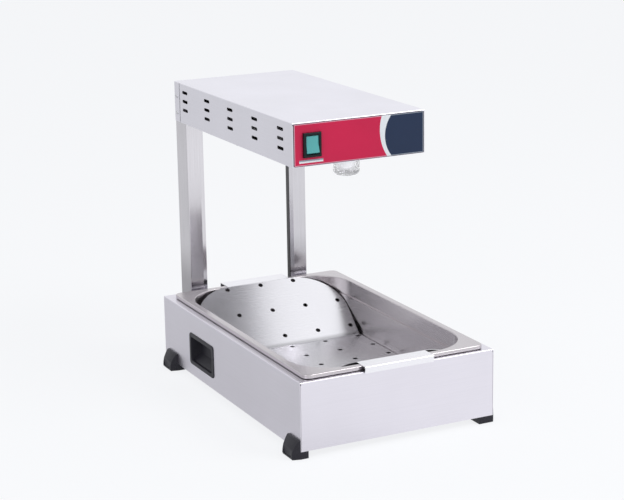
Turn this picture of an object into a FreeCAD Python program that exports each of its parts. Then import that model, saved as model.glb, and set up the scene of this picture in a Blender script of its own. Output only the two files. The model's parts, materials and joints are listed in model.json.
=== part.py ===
"""Heated chip warmer: a base with a pan and a perforated insert, two rear posts and a heated head."""

import FreeCAD, Part
import math
import os
import re

import Sketcher
from FreeCAD import Placement, Rotation, Vector

# Driving sizes in millimetres, one cell each. X runs to the right, Y to the back and Z up.
# Places are measured from the middle of the base's footprint at floor level.
SIZES = {
    # gastronorm pan, full size, 100 mm deep, which the base is made round
    "pan_wide": 325.0,
    "pan_long": 530.0,
    "pan_deep": 100.0,
    "pan_sheet": 0.8,
    "pan_flange": 12.0,
    "pan_lip": 6.0,
    "pan_middle": -5.0,
    "pan_shadow": 1.4,
    "pan_rim_corner": 12.0,
    "pan_corner": 72.0,
    "pan_shoulder": 3.0,
    "pan_shoulder_drop": 30.0,
    "pan_foot_round": 22.0,
    "pan_rim_round": 1.5,
    "pan_draft": 2.0,
    "pan_clear": 1.6,
    # base body: one folded sheet, walls and top
    "base_side_margin": 12.5,
    "base_end_margin": 13.0,
    "base_pan_clear": 20.4,
    "base_clear": 12.0,
    "case_sheet": 1.0,
    "case_bend": 1.6,
    "floor_flange": 12.0,
    "corner_seam": 0.4,
    "corner_hole": 1.3,
    "corner_hole_drop": 3.2,
    "plate_gap": 0.5,
    # perforated insert: one bent sheet that hooks over the base
    "insert_sheet": 1.2,
    "insert_rise": 15.6,
    "insert_side_gap": 10.5,
    "insert_flare": 6.0,
    "insert_flare_run": 67.5,
    "insert_rear_gap": 2.0,
    "insert_rear_run": 125.0,
    "insert_front_gap": 8.0,
    "insert_front_run": 25.0,
    "insert_front_narrow": 26.0,
    "insert_taper": 60.0,
    "insert_corner": 84.0,
    "insert_bend": 1.8,
    "hook_over": 0.0,
    "hook_clear": 1.5,
    "hook_lip": 9.8,
    "drain_hole": 4.3,
    "drain_edge": 8.0,
    "drain_pitch_y": 57.0,
    "drain_first_inset": 10.5,
    "drain_low_run": 22.5,
    "drain_mid_run": 83.5,
    "drain_high_run": 144.5,
    # posts: folded channels on a rail behind the base
    "post_web": 26.0,
    "post_joggle": 8.0,
    "post_joggle_back": 3.0,
    "post_return": 10.0,
    "post_deep": 43.5,
    "post_sheet": 1.5,
    "post_bend": 2.5,
    "post_foot_rise": 8.0,
    "post_bolt_inset": 14.0,
    "rail_deep": 9.0,
    "rail_over": 4.0,
    "rail_low_inset": 26.0,
    "rail_top_inset": 5.0,
    "rail_bolt_inset": 20.0,
    "bolt": 2.5,
    "bolt_hole": 2.6,
    "bolt_head": 4.6,
    "bolt_head_tall": 2.8,
    "bolt_long": 19.0,
    "nut_radius": 4.6,
    "nut_tall": 4.0,
    # head: one folded casing carried by the posts
    "head_wide": 238.0,
    "head_long": 483.5,
    "head_clear": 308.0,
    "head_tall": 71.3,
    "head_return": 10.0,
    "head_side_over": 19.4,
    "cover_gap": 2.0,
    "vent_long": 23.0,
    "vent_tall": 5.5,
    "vent_pitch_y": 97.7,
    "vent_pitch_z": 15.8,
    "vent_rear_inset": 49.0,
    "vent_top_inset": 15.0,
    "vent_round": 2.6,
    "vent_relief": 0.8,
    "rear_gap": 0.3,
    "side_screw_inset": 10.5,
    "side_screw_rise": 16.0,
    "side_screw_drop": 25.3,
    "plate_end_gap": 2.0,
    "plate_screw_inset": 5.0,
    "screw": 1.75,
    "screw_hole": 1.85,
    "screw_head": 3.8,
    "screw_head_tall": 2.0,
    "screw_long": 8.0,
    # printed front overlay and the rocker switch in it
    "overlay_sheet": 0.5,
    "overlay_left_inset": 2.0,
    "overlay_right_inset": 1.6,
    "overlay_low_inset": 0.8,
    "overlay_top_inset": 1.8,
    "overlay_corner": 2.0,
    "switch_inset": 33.4,
    "switch_rise": 34.5,
    "bezel_wide": 31.5,
    "bezel_tall": 39.5,
    "bezel_proud": 4.5,
    "bezel_round": 1.2,
    "switch_body_wide": 25.0,
    "switch_body_tall": 34.0,
    "switch_body_deep": 26.0,
    "switch_cut_gap": 0.2,
    "rocker_wide": 21.6,
    "rocker_radius": 15.0,
    "rocker_gap": 0.5,
    "rocker_axis_deep": 1.5,
    "rocker_apex": 5.2,
    "rocker_back": 5.0,
    "rocker_swing": 15.0,
    "rocker_pin": 1.6,
    "rocker_pin_fit": 0.05,
    "terminal_wide": 6.3,
    "terminal_long": 9.0,
    "terminal_thick": 0.8,
    "terminal_pitch": 10.0,
    # lamp under the front of the head
    "lamp_inset": 47.0,
    "lamp_glass": 21.5,
    "lamp_glass_tall": 28.5,
    "lamp_glass_round": 8.0,
    "lamp_shoulder_round": 3.5,
    "lamp_glass_wall": 2.2,
    "lamp_glass_floor": 5.0,
    "lamp_neck": 18.0,
    "lamp_neck_tall": 16.0,
    "lamp_ring": 34.0,
    "lamp_ring_tall": 3.5,
    "lamp_gap": 0.4,
    "lamp_socket": 33.0,
    "lamp_socket_tall": 38.0,
    "lamp_socket_bore": 24.0,
    "lamp_screw_x": 29.0,
    "bulb": 12.0,
    "bulb_round": 9.0,
    "bulb_clear": 4.5,
    "bulb_cap": 7.0,
    "bulb_cap_tall": 22.0,
    # quartz heater in the head
    "trough_front_inset": 102.0,
    "trough_rear_inset": 33.0,
    "trough_mouth": 57.0,
    "trough_roof": 32.0,
    "trough_tall": 42.0,
    "trough_flange": 10.0,
    "trough_sheet": 0.8,
    "window_edge": 10.0,
    "window_margin": 6.0,
    "tube": 6.0,
    "tube_wall": 1.2,
    "tube_x": 22.0,
    "tube_height": 22.0,
    "tube_overhang": 9.0,
    "tube_fit": 0.25,
    "tube_cap": 10.0,
    "tube_cap_long": 16.0,
    "tube_cap_fit": 0.05,
    "guard_wire": 1.0,
    "guard_over": 5.0,
    "guard_side_inset": 2.5,
    "guard_pitch": 20.0,
    "guard_margin": 4.0,
    # wiring
    "lead": 1.3,
    "lead_bend": 7.0,
    "lead_gap": 0.2,
    "block_wide": 30.0,
    "block_long": 45.0,
    "block_tall": 28.0,
    "block_side_inset": 26.0,
    "block_rear_inset": 63.0,
    "block_groove": 2.0,
    "gland_x": -40.0,
    "gland_rise": 35.0,
    "gland": 8.0,
    "gland_bore": 4.0,
    "gland_hex": 12.5,
    "gland_hex_tall": 6.0,
    "gland_dome_tall": 14.0,
    "gland_dome": 10.5,
    "gland_inside": 9.0,
    "gland_nut_tall": 5.0,
    "gland_fit": 0.1,
    # grip recess in each side wall
    "grip_rear_inset": 117.0,
    "grip_long": 104.0,
    "grip_rise": 20.0,
    "grip_tall": 57.5,
    "grip_frame": 5.0,
    "grip_proud": 1.2,
    "grip_round": 7.0,
    "grip_deep": 19.0,
    "grip_wall": 2.0,
    "grip_slope": 14.0,
    "grip_fit": 0.3,
    # feet: the left pair stands proud of the wall, the right pair sits under it
    "foot_long": 42.0,
    "foot_rear_inset": 16.0,
    "foot_left_proud": 14.2,
    "foot_left_in": 13.4,
    "foot_left_up": 18.5,
    "foot_left_crest": 3.5,
    "foot_right_proud": 3.5,
    "foot_right_in": 26.0,
    "foot_right_up": 12.0,
    "foot_right_crest": 0.9,
    "foot_end_taper": 4.0,
    "foot_panel_deep": 1.4,
    "foot_panel_margin": 8.0,
    "foot_panel_low": 3.0,
    "foot_panel_high": 19.0,
    "foot_screw_y": 21.0,
    "foot_screw_in": 7.0,
    "foot_bore": 4.5,
    "foot_bore_deep": 6.0,
    "foot_screw_long": 10.0,
    # one overrun for every cut
    "overrun": 5.0,
}

# Shares of a foot's height and proudness that its curved outer face passes, from the crest down.
FOOT_CURVE_SHARES = ((0.8, 0.55), (0.55, 0.83), (0.3, 0.96), (0.1, 1.0))
LEAD_VOLUME_SHARE = 0.01

# Sizes that follow from the ones above, worked out in the same sheet.
DERIVED = {
    "pan_half_x": "pan_wide / 2",
    "pan_half_y": "pan_long / 2",
    "wall_half_x": "pan_half_x - pan_flange",
    "wall_half_y": "pan_half_y - pan_flange",
    "opening_half_x": "wall_half_x + pan_clear",
    "opening_half_y": "wall_half_y + pan_clear",
    "opening_corner": "pan_corner + pan_clear",
    "base_half_x": "pan_half_x + base_side_margin",
    "base_half_y": "pan_half_y + base_end_margin",
    "base_low": "base_clear",
    "pan_low": "base_low + base_pan_clear",
    "rim_top": "pan_low + pan_deep",
    "rim_under": "rim_top - pan_sheet",
    "base_top": "rim_top - pan_lip - pan_shadow",
    "shoulder_z": "rim_top - pan_shoulder_drop",
    "insert_floor": "pan_low + insert_rise",
    "insert_top": "rim_top + insert_sheet",
    "insert_half": "wall_half_x - insert_side_gap",
    "insert_front_half": "insert_half - insert_front_narrow",
    "insert_rear_fold": "pan_middle + wall_half_y - insert_rear_gap",
    "insert_rear_crease": "insert_rear_fold - insert_rear_run",
    "insert_front_fold": "pan_middle - wall_half_y + insert_front_gap",
    "insert_front_crease": "insert_front_fold + insert_front_run",
    "insert_corner_start": "insert_front_crease + insert_taper",
    "hook_half": "insert_half + insert_flare - insert_corner + hook_over",
    "hook_reach": "base_half_y + hook_clear",
    "hook_outer": "hook_reach + insert_sheet",
    "drain_pitch_x": "(insert_half - drain_edge) / 2",
    "drain_first_y": "insert_rear_crease - drain_first_inset",
    "plate_low": "base_low + case_sheet",
    "plate_half_x": "base_half_x - case_sheet - plate_gap",
    "plate_half_y": "base_half_y - case_sheet - plate_gap",
    "floor_screw_x": "base_half_x - floor_flange / 2",
    "head_half": "head_wide / 2",
    "post_outer": "head_half - case_sheet",
    "post_inner": "post_outer - post_web - post_joggle",
    "post_front": "base_half_y + rail_deep",
    "post_rear": "post_front + post_deep",
    "post_return_end": "post_front + post_joggle_back + post_return",
    "post_foot": "base_low + post_foot_rise",
    "post_bolt_x": "post_outer - post_bolt_inset",
    "rail_half": "post_outer + rail_over",
    "rail_low": "base_low + rail_low_inset",
    "rail_top": "base_top - rail_top_inset",
    "post_bolt_low": "rail_low + rail_bolt_inset",
    "post_bolt_high": "rail_top - rail_bolt_inset",
    "head_low": "base_top + head_clear",
    "head_top": "head_low + head_tall",
    "head_under": "head_top - case_sheet",
    "head_rear": "post_rear + case_sheet",
    "head_front": "head_rear - head_long",
    "head_side_end": "post_front + head_side_over",
    "cover_front": "head_side_end + cover_gap",
    "vent_first_y": "head_rear - vent_rear_inset",
    "vent_first_z": "head_top - vent_top_inset",
    "side_screw_y": "post_rear - side_screw_inset",
    "side_screw_low": "head_low + side_screw_rise",
    "side_screw_high": "head_top - side_screw_drop",
    "plate_end": "post_front - plate_end_gap",
    "under_low": "head_low + case_sheet",
    "under_top": "under_low + case_sheet",
    "under_half": "head_half - case_sheet - plate_gap",
    "under_front": "head_front + case_sheet + plate_gap",
    "overlay_face": "head_front - overlay_sheet",
    "overlay_left": "overlay_left_inset - head_half",
    "overlay_right": "head_half - overlay_right_inset",
    "overlay_low": "head_low + overlay_low_inset",
    "overlay_high": "head_top - overlay_top_inset",
    "switch_x": "switch_inset - head_half",
    "switch_z": "head_low + switch_rise",
    "bezel_face": "overlay_face - bezel_proud",
    "rocker_axis_y": "head_front + rocker_axis_deep",
    "switch_back": "head_front + switch_body_deep",
    "lamp_y": "head_front + lamp_inset",
    "lamp_shoulder": "under_low - lamp_ring_tall",
    "lamp_glass_low": "lamp_shoulder - lamp_glass_tall",
    "socket_top": "under_top + lamp_socket_tall",
    "neck_top": "lamp_shoulder + lamp_neck_tall",
    "bulb_low": "lamp_glass_low + lamp_glass_floor + bulb_clear",
    "trough_front": "head_front + trough_front_inset",
    "trough_rear": "plate_end - trough_rear_inset",
    "trough_top": "under_top + trough_tall",
    "window_half": "trough_mouth - window_edge",
    "guard_half": "window_half + guard_over",
    "guard_side": "guard_half - guard_side_inset",
    "tube_z": "under_top + tube_height",
    "tube_front": "trough_front - tube_overhang",
    "tube_rear": "trough_rear + tube_overhang",
    "block_x": "block_side_inset - head_half",
    "block_y": "plate_end - block_rear_inset",
    "block_top": "under_top + block_tall",
    "gland_z": "head_low + gland_rise",
    "gland_end": "head_rear + gland_dome_tall",
    "grip_low": "base_low + grip_rise",
    "grip_top": "grip_low + grip_tall",
    "grip_rear": "base_half_y - grip_rear_inset",
    "grip_front": "grip_rear - grip_long",
    "foot_front_y": "-base_half_y",
    "foot_rear_y": "base_half_y - foot_rear_inset - foot_long",
    "reach_left": "base_half_x + foot_left_proud",
    "reach_right": "base_half_x + foot_right_proud",
    "shift_x": "(reach_left - reach_right) / 2",
    "shift_y": "(hook_outer - gland_end) / 2",
}

# Sketch planes: the origin plane's role, and the sign of its normal along the world axis.
PLANES = {"top": ("XY_Plane", 1), "front": ("XZ_Plane", -1), "side": ("YZ_Plane", 1)}
AXES = {"x": Vector(1, 0, 0), "y": Vector(0, 1, 0), "z": Vector(0, 0, 1)}
TOUCH = 1e-4
LEFT, RIGHT = -1, 1
SIDES = {"left": LEFT, "right": RIGHT}
VENT_COLUMNS = 5
VENT_ROWS = 3
DRAIN_FLOOR_ROWS = 6

doc = FreeCAD.newDocument("chip_warmer")
sheet = doc.addObject("Spreadsheet::Sheet", "dims")
desk = doc.addObject("Spreadsheet::Sheet", "desk")
cells = [(alias, str(size)) for alias, size in SIZES.items()]
cells += [(alias, "=" + text) for alias, text in DERIVED.items()]
for row, (alias, entry) in enumerate(cells, start=1):
    sheet.set(f"A{row}", alias)
    sheet.set(f"B{row}", entry)
    sheet.setAlias(f"B{row}", alias)
doc.recompute()

ALIAS = re.compile(r"\b(" + "|".join(alias for alias, _ in cells) + r")\b")
finished = {}


def number(text):
    """The value of an expression in the sheet's cells, for placing and picking."""
    desk.set("A1", "=" + ALIAS.sub(r"dims.\1", text))
    desk.recompute()
    return float(desk.get("A1"))


def link(thing, prop, text):
    """Binds a property to cells: each alias in the text becomes a reference to the sheet."""
    thing.setExpression(prop, ALIAS.sub(r"dims.\1", text))


def keep(thing, name):
    """Makes an object a named sub-part, in the frame whose origin is under the middle of the whole part."""
    thing.Label = name
    link(thing, "Placement.Base.x", "shift_x")
    link(thing, "Placement.Base.y", "shift_y")
    finished[name] = thing
    return thing


def new_body(name):
    return keep(doc.addObject("PartDesign::Body", name), name)


def new_sketch(body, plane, offset):
    """An empty sketch on one of the body's origin planes, offset along the world axis."""
    role, sign = PLANES[plane]
    sketch = body.newObject("Sketcher::SketchObject", f"{body.Name}_{plane}")
    support = next(item for item in body.Origin.OriginFeatures if item.Role == role)
    sketch.AttachmentSupport = (support, [""])
    sketch.MapMode = "FlatFace"
    link(sketch, "AttachmentOffset.Base.z", offset if sign > 0 else f"-({offset})")
    return sketch


def bind(sketch, constraint, text):
    """Adds a constraint whose value is an expression."""
    index = sketch.addConstraint(constraint)
    link(sketch, f"Constraints[{index}]", text)


def pin_point(sketch, geometry, point, place):
    """Fixes one point of a sketch at a place given by two expressions."""
    for kind, text in zip(("DistanceX", "DistanceY"), place):
        bind(sketch, Sketcher.Constraint(kind, -1, 1, geometry, point, 1.0), text)


def draw_polygon(sketch, points):
    """A closed outline through points given as pairs of expressions."""
    first = sketch.GeometryCount
    count = len(points)
    turns = [math.tau * index / count for index in range(count)]
    starts = [Vector(math.cos(turn), math.sin(turn), 0) for turn in turns]
    for index, start in enumerate(starts):
        sketch.addGeometry(Part.LineSegment(start, starts[(index + 1) % count]), False)
    for index, place in enumerate(points):
        follower = first + (index + 1) % count
        sketch.addConstraint(Sketcher.Constraint("Coincident", first + index, 2, follower, 1))
        pin_point(sketch, first + index, 1, place)


def draw_rounded(sketch, sides, radius):
    """A rectangle between four expressions, low and high X then low and high Y, with round corners."""
    x_low, x_high, y_low, y_high = (number(text) for text in sides)
    size = number(radius)
    first = sketch.GeometryCount
    centres = [(x_high - size, y_low + size), (x_high - size, y_high - size), (x_low + size, y_high - size),
               (x_low + size, y_low + size)]
    quarter = math.tau / len(centres)
    for index, (x, y) in enumerate(centres):
        circle = Part.Circle(Vector(x, y, 0), AXES["z"], size)
        sketch.addGeometry(Part.ArcOfCircle(circle, quarter * (index - 1), quarter * index), False)
    for index in range(len(centres)):
        arc = sketch.Geometry[first + index]
        follower = sketch.Geometry[first + (index + 1) % len(centres)]
        sketch.addGeometry(Part.LineSegment(arc.EndPoint, follower.StartPoint), False)
    lines = first + len(centres)
    for index in range(len(centres)):
        follower = first + (index + 1) % len(centres)
        sketch.addConstraint(Sketcher.Constraint("Tangent", first + index, 2, lines + index, 1))
        sketch.addConstraint(Sketcher.Constraint("Tangent", lines + index, 2, follower, 1))
        sketch.addConstraint(Sketcher.Constraint("Horizontal" if index % 2 else "Vertical", lines + index))
        if index:
            sketch.addConstraint(Sketcher.Constraint("Equal", first, first + index))
    bind(sketch, Sketcher.Constraint("Radius", first, size), radius)
    places = (sides[1], sides[3], sides[0], sides[2])
    for index, (kind, text) in enumerate(zip(("DistanceX", "DistanceY") * 2, places)):
        bind(sketch, Sketcher.Constraint(kind, -1, 1, lines + index, 1, number(text)), text)


def draw_circle(sketch, place, radius):
    index = sketch.addGeometry(Part.Circle(), False)
    pin_point(sketch, index, 3, place)
    bind(sketch, Sketcher.Constraint("Radius", index, 1.0), radius)


def extrude(body, kind, plane, low, high, shapes):
    """The prism over the shapes, between two places along the plane's world axis."""
    sign = PLANES[plane][1]
    cuts = kind == "Pocket"
    sketch = new_sketch(body, plane, low if (sign > 0) != cuts else high)
    for shape in shapes:
        if isinstance(shape, dict):
            draw_rounded(sketch, **shape)
        elif isinstance(shape, tuple):
            draw_circle(sketch, *shape)
        else:
            draw_polygon(sketch, shape)
    feature = body.newObject(f"PartDesign::{kind}", f"{body.Name}_{kind.lower()}")
    feature.Profile = sketch
    link(feature, "Length", f"({high}) - ({low})")
    doc.recompute()
    return feature


def add(body, plane, low, high, *shapes):
    return extrude(body, "Pad", plane, low, high, shapes)


def cut(body, plane, low, high, *shapes):
    """A pocket between two places, checked to have taken material away."""
    before = body.Shape.Volume
    feature = extrude(body, "Pocket", plane, low, high, shapes)
    if not body.Shape.Volume < before - TOUCH:
        raise ValueError(f"{feature.Name} cuts nothing")
    return feature


def edges(body, along=None, **where):
    """Names of the edges, along an axis if one is given, whose middle lies that far from the origin."""
    names = []
    goals = {axis: abs(number(text)) for axis, text in where.items()}
    for index, edge in enumerate(body.Tip.Shape.Edges, start=1):
        middle = edge.valueAt((edge.FirstParameter + edge.LastParameter) / 2)
        straight = isinstance(edge.Curve, Part.Line)
        if along and not (straight and abs(edge.Curve.Direction.dot(AXES[along])) > 1 - TOUCH):
            continue
        if all(abs(abs(getattr(middle, axis)) - goal) < TOUCH for axis, goal in goals.items()):
            names.append(f"Edge{index}")
    return names


def soften(body, radius, names, kind="Fillet"):
    """Rounds or chamfers the named edges of the body's last feature."""
    if not names:
        raise ValueError(f"{body.Name} has no such edge")
    base = body.Tip
    feature = body.newObject(f"PartDesign::{kind}", f"{body.Name}_{kind.lower()}")
    feature.Base = (base, names)
    link(feature, "Radius" if kind == "Fillet" else "Size", radius)
    doc.recompute()
    return feature


def rect(x_low, x_high, y_low, y_high):
    return [(x_low, y_low), (x_high, y_low), (x_high, y_high), (x_low, y_high)]


def centred(half_x, half_y, middle_y="0"):
    """A rectangle about X zero."""
    return rect(f"-({half_x})", half_x, f"{middle_y} - ({half_y})", f"{middle_y} + ({half_y})")


def around(middle_x, half_x, middle_y, half_y):
    return rect(f"{middle_x} - ({half_x})", f"{middle_x} + ({half_x})",
                f"{middle_y} - ({half_y})", f"{middle_y} + ({half_y})")


def rounded(points, radius):
    """A rectangle given as corner points, to be drawn with round corners."""
    (x_low, y_low), _, (x_high, y_high), _ = points
    return {"sides": (x_low, x_high, y_low, y_high), "radius": radius}


def mirrored(side, text):
    """An X expression measured outwards from the middle, on the left or the right."""
    return text if side == RIGHT else f"-({text})"


def span(side, inner, outer):
    """The low and high X of a stretch given by its inner and outer distances from the middle."""
    return (inner, outer) if side == RIGHT else (f"-({outer})", f"-({inner})")


def primitive(kind, name, place, turn=None, **sizes):
    """A Part primitive bound to the sheet in sizes and place, its own Z axis turned to a direction."""
    thing = doc.addObject(f"Part::{kind}", name)
    if turn:
        thing.Placement = Placement(Vector(), Rotation(AXES["z"], Vector(*turn)))
    for prop, text in sizes.items():
        link(thing, prop, text)
    for axis, text in zip("xyz", place):
        link(thing, f"Placement.Base.{axis}", text)
    return thing


def box(name, x_low, x_high, y_low, y_high, z_low, z_high):
    return primitive("Box", name, (x_low, y_low, z_low), Length=f"({x_high}) - ({x_low})",
                     Width=f"({y_high}) - ({y_low})", Height=f"({z_high}) - ({z_low})")


def rod(name, place, turn, radius, length):
    return primitive("Cylinder", name, place, turn, Radius=radius, Height=length)


def fuse(name, things):
    thing = doc.addObject("Part::MultiFuse", name)
    thing.Shapes = things
    return thing


def minus(name, base, tool):
    thing = doc.addObject("Part::Cut", name)
    thing.Base = base
    thing.Tool = tool
    return thing


def group(name, things):
    """Like pieces as one sub-part of separate solids."""
    thing = doc.addObject("Part::Compound", name)
    thing.Links = things
    return keep(thing, name)


def fastener(name, place, out, head, head_tall, shank, shank_long):
    """A screw seated at a place: its head stands out, its shank goes in."""
    inward = tuple(-part for part in out)
    return fuse(name, [rod(f"{name}_head", place, out, head, head_tall),
                       rod(f"{name}_shank", place, inward, shank, shank_long)])


def screws(name, places, out, size="screw"):
    """A group of like screws."""
    head, head_tall, long = f"{size}_head", f"{size}_head_tall", f"{size}_long"
    return group(name, [fastener(f"{name}_piece", place, out, head, head_tall, size, long)
                        for place in places])


def floor_screw_places():
    """Screws through the base's flange and bottom plate, three down each side between the feet."""
    return [(mirrored(side, "floor_screw_x"), y) for side in SIDES.values()
            for y in ("-base_half_y / 2", "0", "base_half_y / 2")]


def foot_screw_places():
    return [(mirrored(side, "base_half_x - foot_screw_in"), f"{low} + foot_screw_y")
            for side in SIDES.values() for low in ("foot_front_y", "foot_rear_y")]


def post_bolt_places(sides=(LEFT, RIGHT)):
    heights = ("post_bolt_low", "post_bolt_high")
    return [(mirrored(side, "post_bolt_x"), z) for side in sides for z in heights]


def under_screw_places():
    """Screws up through the casing's bottom returns into the underside plate."""
    rows = ("head_front + head_return * 2", "(head_front + plate_end) / 2", "plate_end - head_return")
    return [(mirrored(side, "head_half - plate_screw_inset"), y) for side in SIDES.values() for y in rows]


def lamp_screw_places():
    return [(mirrored(side, "lamp_screw_x"), "lamp_y") for side in SIDES.values()]


def vent_heights():
    return [f"vent_first_z - vent_pitch_z * {row}" for row in range(VENT_ROWS)]


def switch_window(grow="switch_cut_gap"):
    return around("switch_x", f"switch_body_wide / 2 + {grow}", "switch_z", f"switch_body_tall / 2 + {grow}")


def grip_window(inset):
    return rect(f"grip_front + {inset}", f"grip_rear - ({inset})",
                f"grip_low + {inset}", f"grip_top - ({inset})")


def make_base_shell():
    """One folded sheet: a top with a hem up round the pan opening, four walls and bottom flanges."""
    body = new_body("base_shell")
    add(body, "top", "base_low", "base_top", centred("base_half_x", "base_half_y"))
    soften(body, "case_bend", edges(body, z="base_top"))
    hem = centred("opening_half_x + case_sheet", "opening_half_y + case_sheet", "pan_middle")
    add(body, "top", "base_top", "rim_under", rounded(hem, "opening_corner + case_sheet"))
    cut(body, "top", "plate_low", "base_top - case_sheet",
        centred("base_half_x - case_sheet", "base_half_y - case_sheet"))
    cut(body, "top", "base_low", "plate_low",
        centred("base_half_x - floor_flange", "base_half_y - floor_flange"))
    cut(body, "top", "base_top - case_sheet", "rim_under",
        rounded(centred("opening_half_x", "opening_half_y", "pan_middle"), "opening_corner"))
    seams = [rect(*span(side, "base_half_x - case_sheet - corner_seam", "base_half_x - case_sheet"),
                  "base_low - overrun", "base_top - corner_hole_drop") for side in SIDES.values()]
    holes = [((mirrored(side, "base_half_x - case_sheet - corner_seam / 2"), "base_top - corner_hole_drop"),
              "corner_hole") for side in SIDES.values()]
    for low, high in (("-base_half_y - overrun", "case_sheet - base_half_y"),
                      ("base_half_y - case_sheet", "base_half_y + overrun")):
        cut(body, "front", low, high, *seams)
        cut(body, "front", low, high, *holes)
    cut(body, "front", "base_half_y - case_sheet", "base_half_y",
        *((place, "bolt_hole") for place in post_bolt_places()))
    for side in SIDES.values():
        cut(body, "side", *span(side, "base_half_x - case_sheet", "base_half_x"),
            rounded(grip_window("grip_frame - grip_fit"), "grip_round + grip_fit"))
    cut(body, "top", "base_low", "plate_low",
        *((place, "screw_hole") for place in floor_screw_places() + foot_screw_places()))


def make_base_bottom_plate():
    body = new_body("base_bottom_plate")
    add(body, "top", "plate_low", "plate_low + case_sheet", centred("plate_half_x", "plate_half_y"))
    cut(body, "top", "plate_low", "plate_low + case_sheet",
        *((place, "screw_hole") for place in floor_screw_places() + foot_screw_places()))


def make_rear_mount_rail():
    """A folded channel that spaces the posts off the base's rear wall."""
    body = new_body("rear_mount_rail")
    low, high = "rail_low", "rail_top"
    web = "post_front - post_sheet"
    outside = [("base_half_y", low), ("post_front", low), ("post_front", high), ("base_half_y", high)]
    inside = [("base_half_y", f"{high} - post_sheet"), (web, f"{high} - post_sheet"),
              (web, f"{low} + post_sheet"), ("base_half_y", f"{low} + post_sheet")]
    add(body, "side", "-rail_half", "rail_half", outside + inside)
    soften(body, "post_bend", edges(body, along="x", y="post_front"))
    cut(body, "front", web, "post_front", *((place, "bolt_hole") for place in post_bolt_places()))


def make_post(name, side):
    """A folded channel: a web with a joggled inner edge, a deep outer flange and a short inner return."""
    body = new_body(f"post_{name}")
    jog, edge = "post_outer - post_web", "post_inner"
    back = "post_front + post_joggle_back"
    loop = [("post_outer", "post_rear"), ("post_outer", "post_front"), (jog, "post_front"), (edge, back),
            (edge, f"{back} + post_return"), (f"{edge} + post_sheet", f"{back} + post_return"),
            (f"{edge} + post_sheet", f"{back} + post_sheet"), (jog, "post_front + post_sheet"),
            ("post_outer - post_sheet", "post_front + post_sheet"), ("post_outer - post_sheet", "post_rear")]
    add(body, "top", "post_foot", "head_under", [(mirrored(side, x), y) for x, y in loop])
    soften(body, "post_bend", edges(body, along="z", x="post_outer", y="post_front"))
    cut(body, "front", "post_front", "post_front + post_sheet",
        *((place, "bolt_hole") for place in post_bolt_places([side])))
    cut(body, "side", *span(side, "post_outer - post_sheet", "post_outer"),
        *((("side_screw_y", z), "screw_hole") for z in ("side_screw_low", "side_screw_high")))
    for z in vent_heights():
        cut(body, "side", *span(side, "post_outer - post_bend", "post_outer + overrun"),
            around("vent_first_y", "vent_long / 2 + vent_relief", z, "vent_tall / 2 + vent_relief"))


def make_head_casing():
    """One folded sheet: roof, two vented sides and a front, with inward returns along the bottom."""
    body = new_body("head_casing")
    add(body, "top", "head_low", "head_top", rect("-head_half", "head_half", "head_front", "head_rear"))
    soften(body, "case_bend", edges(body, along="y", z="head_top")
           + edges(body, along="x", z="head_top", y="head_front"))
    inner = "head_half - case_sheet"
    cut(body, "top", "under_low", "head_under",
        rect(f"-({inner})", inner, "head_front + case_sheet", "head_rear + overrun"))
    mouth = "head_half - head_return"
    cut(body, "top", "head_low", "under_low",
        rect(f"-({mouth})", mouth, "head_front + head_return", "head_rear + overrun"))
    cut(body, "top", "head_low", "under_low",
        rect(f"-({inner})", inner, "plate_end", "head_side_end + overrun"))
    cut(body, "side", "-head_half - overrun", "head_half + overrun",
        rect("head_side_end", "head_rear + overrun", "head_low - overrun", "head_under"))
    columns = [f"vent_first_y - vent_pitch_y * {column}" for column in range(VENT_COLUMNS)]
    for y in columns:
        for z in vent_heights():
            cut(body, "side", "-head_half - overrun", "head_half + overrun",
                rounded(around(y, "vent_long / 2", z, "vent_tall / 2"), "vent_round"))
    seams = [rect(*span(side, "head_half - case_sheet - corner_seam", "head_half - case_sheet"),
                  "head_low - overrun", "head_top - corner_hole_drop") for side in SIDES.values()]
    holes = [((mirrored(side, "head_half - case_sheet - corner_seam / 2"), "head_top - corner_hole_drop"),
              "corner_hole") for side in SIDES.values()]
    for shapes in (seams, holes):
        cut(body, "front", "head_front - overrun", "head_front + case_sheet", *shapes)
    cut(body, "front", "head_front", "head_front + case_sheet", switch_window())
    cut(body, "top", "head_low", "under_low", *((place, "screw_hole") for place in under_screw_places()))


def make_head_underside_plate():
    """The plate that closes the head's underside, with the lamp hole and the heater window."""
    body = new_body("head_underside_plate")
    add(body, "top", "under_low", "under_top", rect("-under_half", "under_half", "under_front", "plate_end"))
    cut(body, "top", "under_low", "under_top",
        (("0", "lamp_y"), "lamp_neck + lamp_gap"),
        rect("-window_half", "window_half", "trough_front + window_margin", "trough_rear - window_margin"),
        *((place, "screw_hole") for place in under_screw_places() + lamp_screw_places()))


def make_head_rear_cover():
    """A folded tray that closes the head's back and laps round the posts, screwed through their flanges."""
    body = new_body("head_rear_cover")
    add(body, "top", "head_low", "head_under", rect("-head_half", "head_half", "cover_front", "head_rear"))
    soften(body, "case_bend", edges(body, along="z", y="head_rear")
           + edges(body, along="x", y="head_rear", z="head_low"))
    cut(body, "top", "under_low", "head_under",
        rect("-post_outer", "post_outer", "cover_front", "head_rear - case_sheet"))
    tongue = "post_inner - plate_gap"
    add(body, "top", "head_low", "under_low",
        rect(f"-({tongue})", tongue, "plate_end + plate_gap", "cover_front"))
    cut(body, "top", "head_low", "under_low",
        *(rect(*span(side, "post_outer - post_sheet - rear_gap", "post_outer"), "cover_front",
               "head_rear - case_sheet") for side in SIDES.values()))
    cut(body, "front", "head_rear - case_sheet", "head_rear", (("gland_x", "gland_z"), "gland + gland_fit"))
    cut(body, "side", "-head_half", "head_half",
        *((("side_screw_y", z), "screw_hole") for z in ("side_screw_low", "side_screw_high")))


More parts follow.
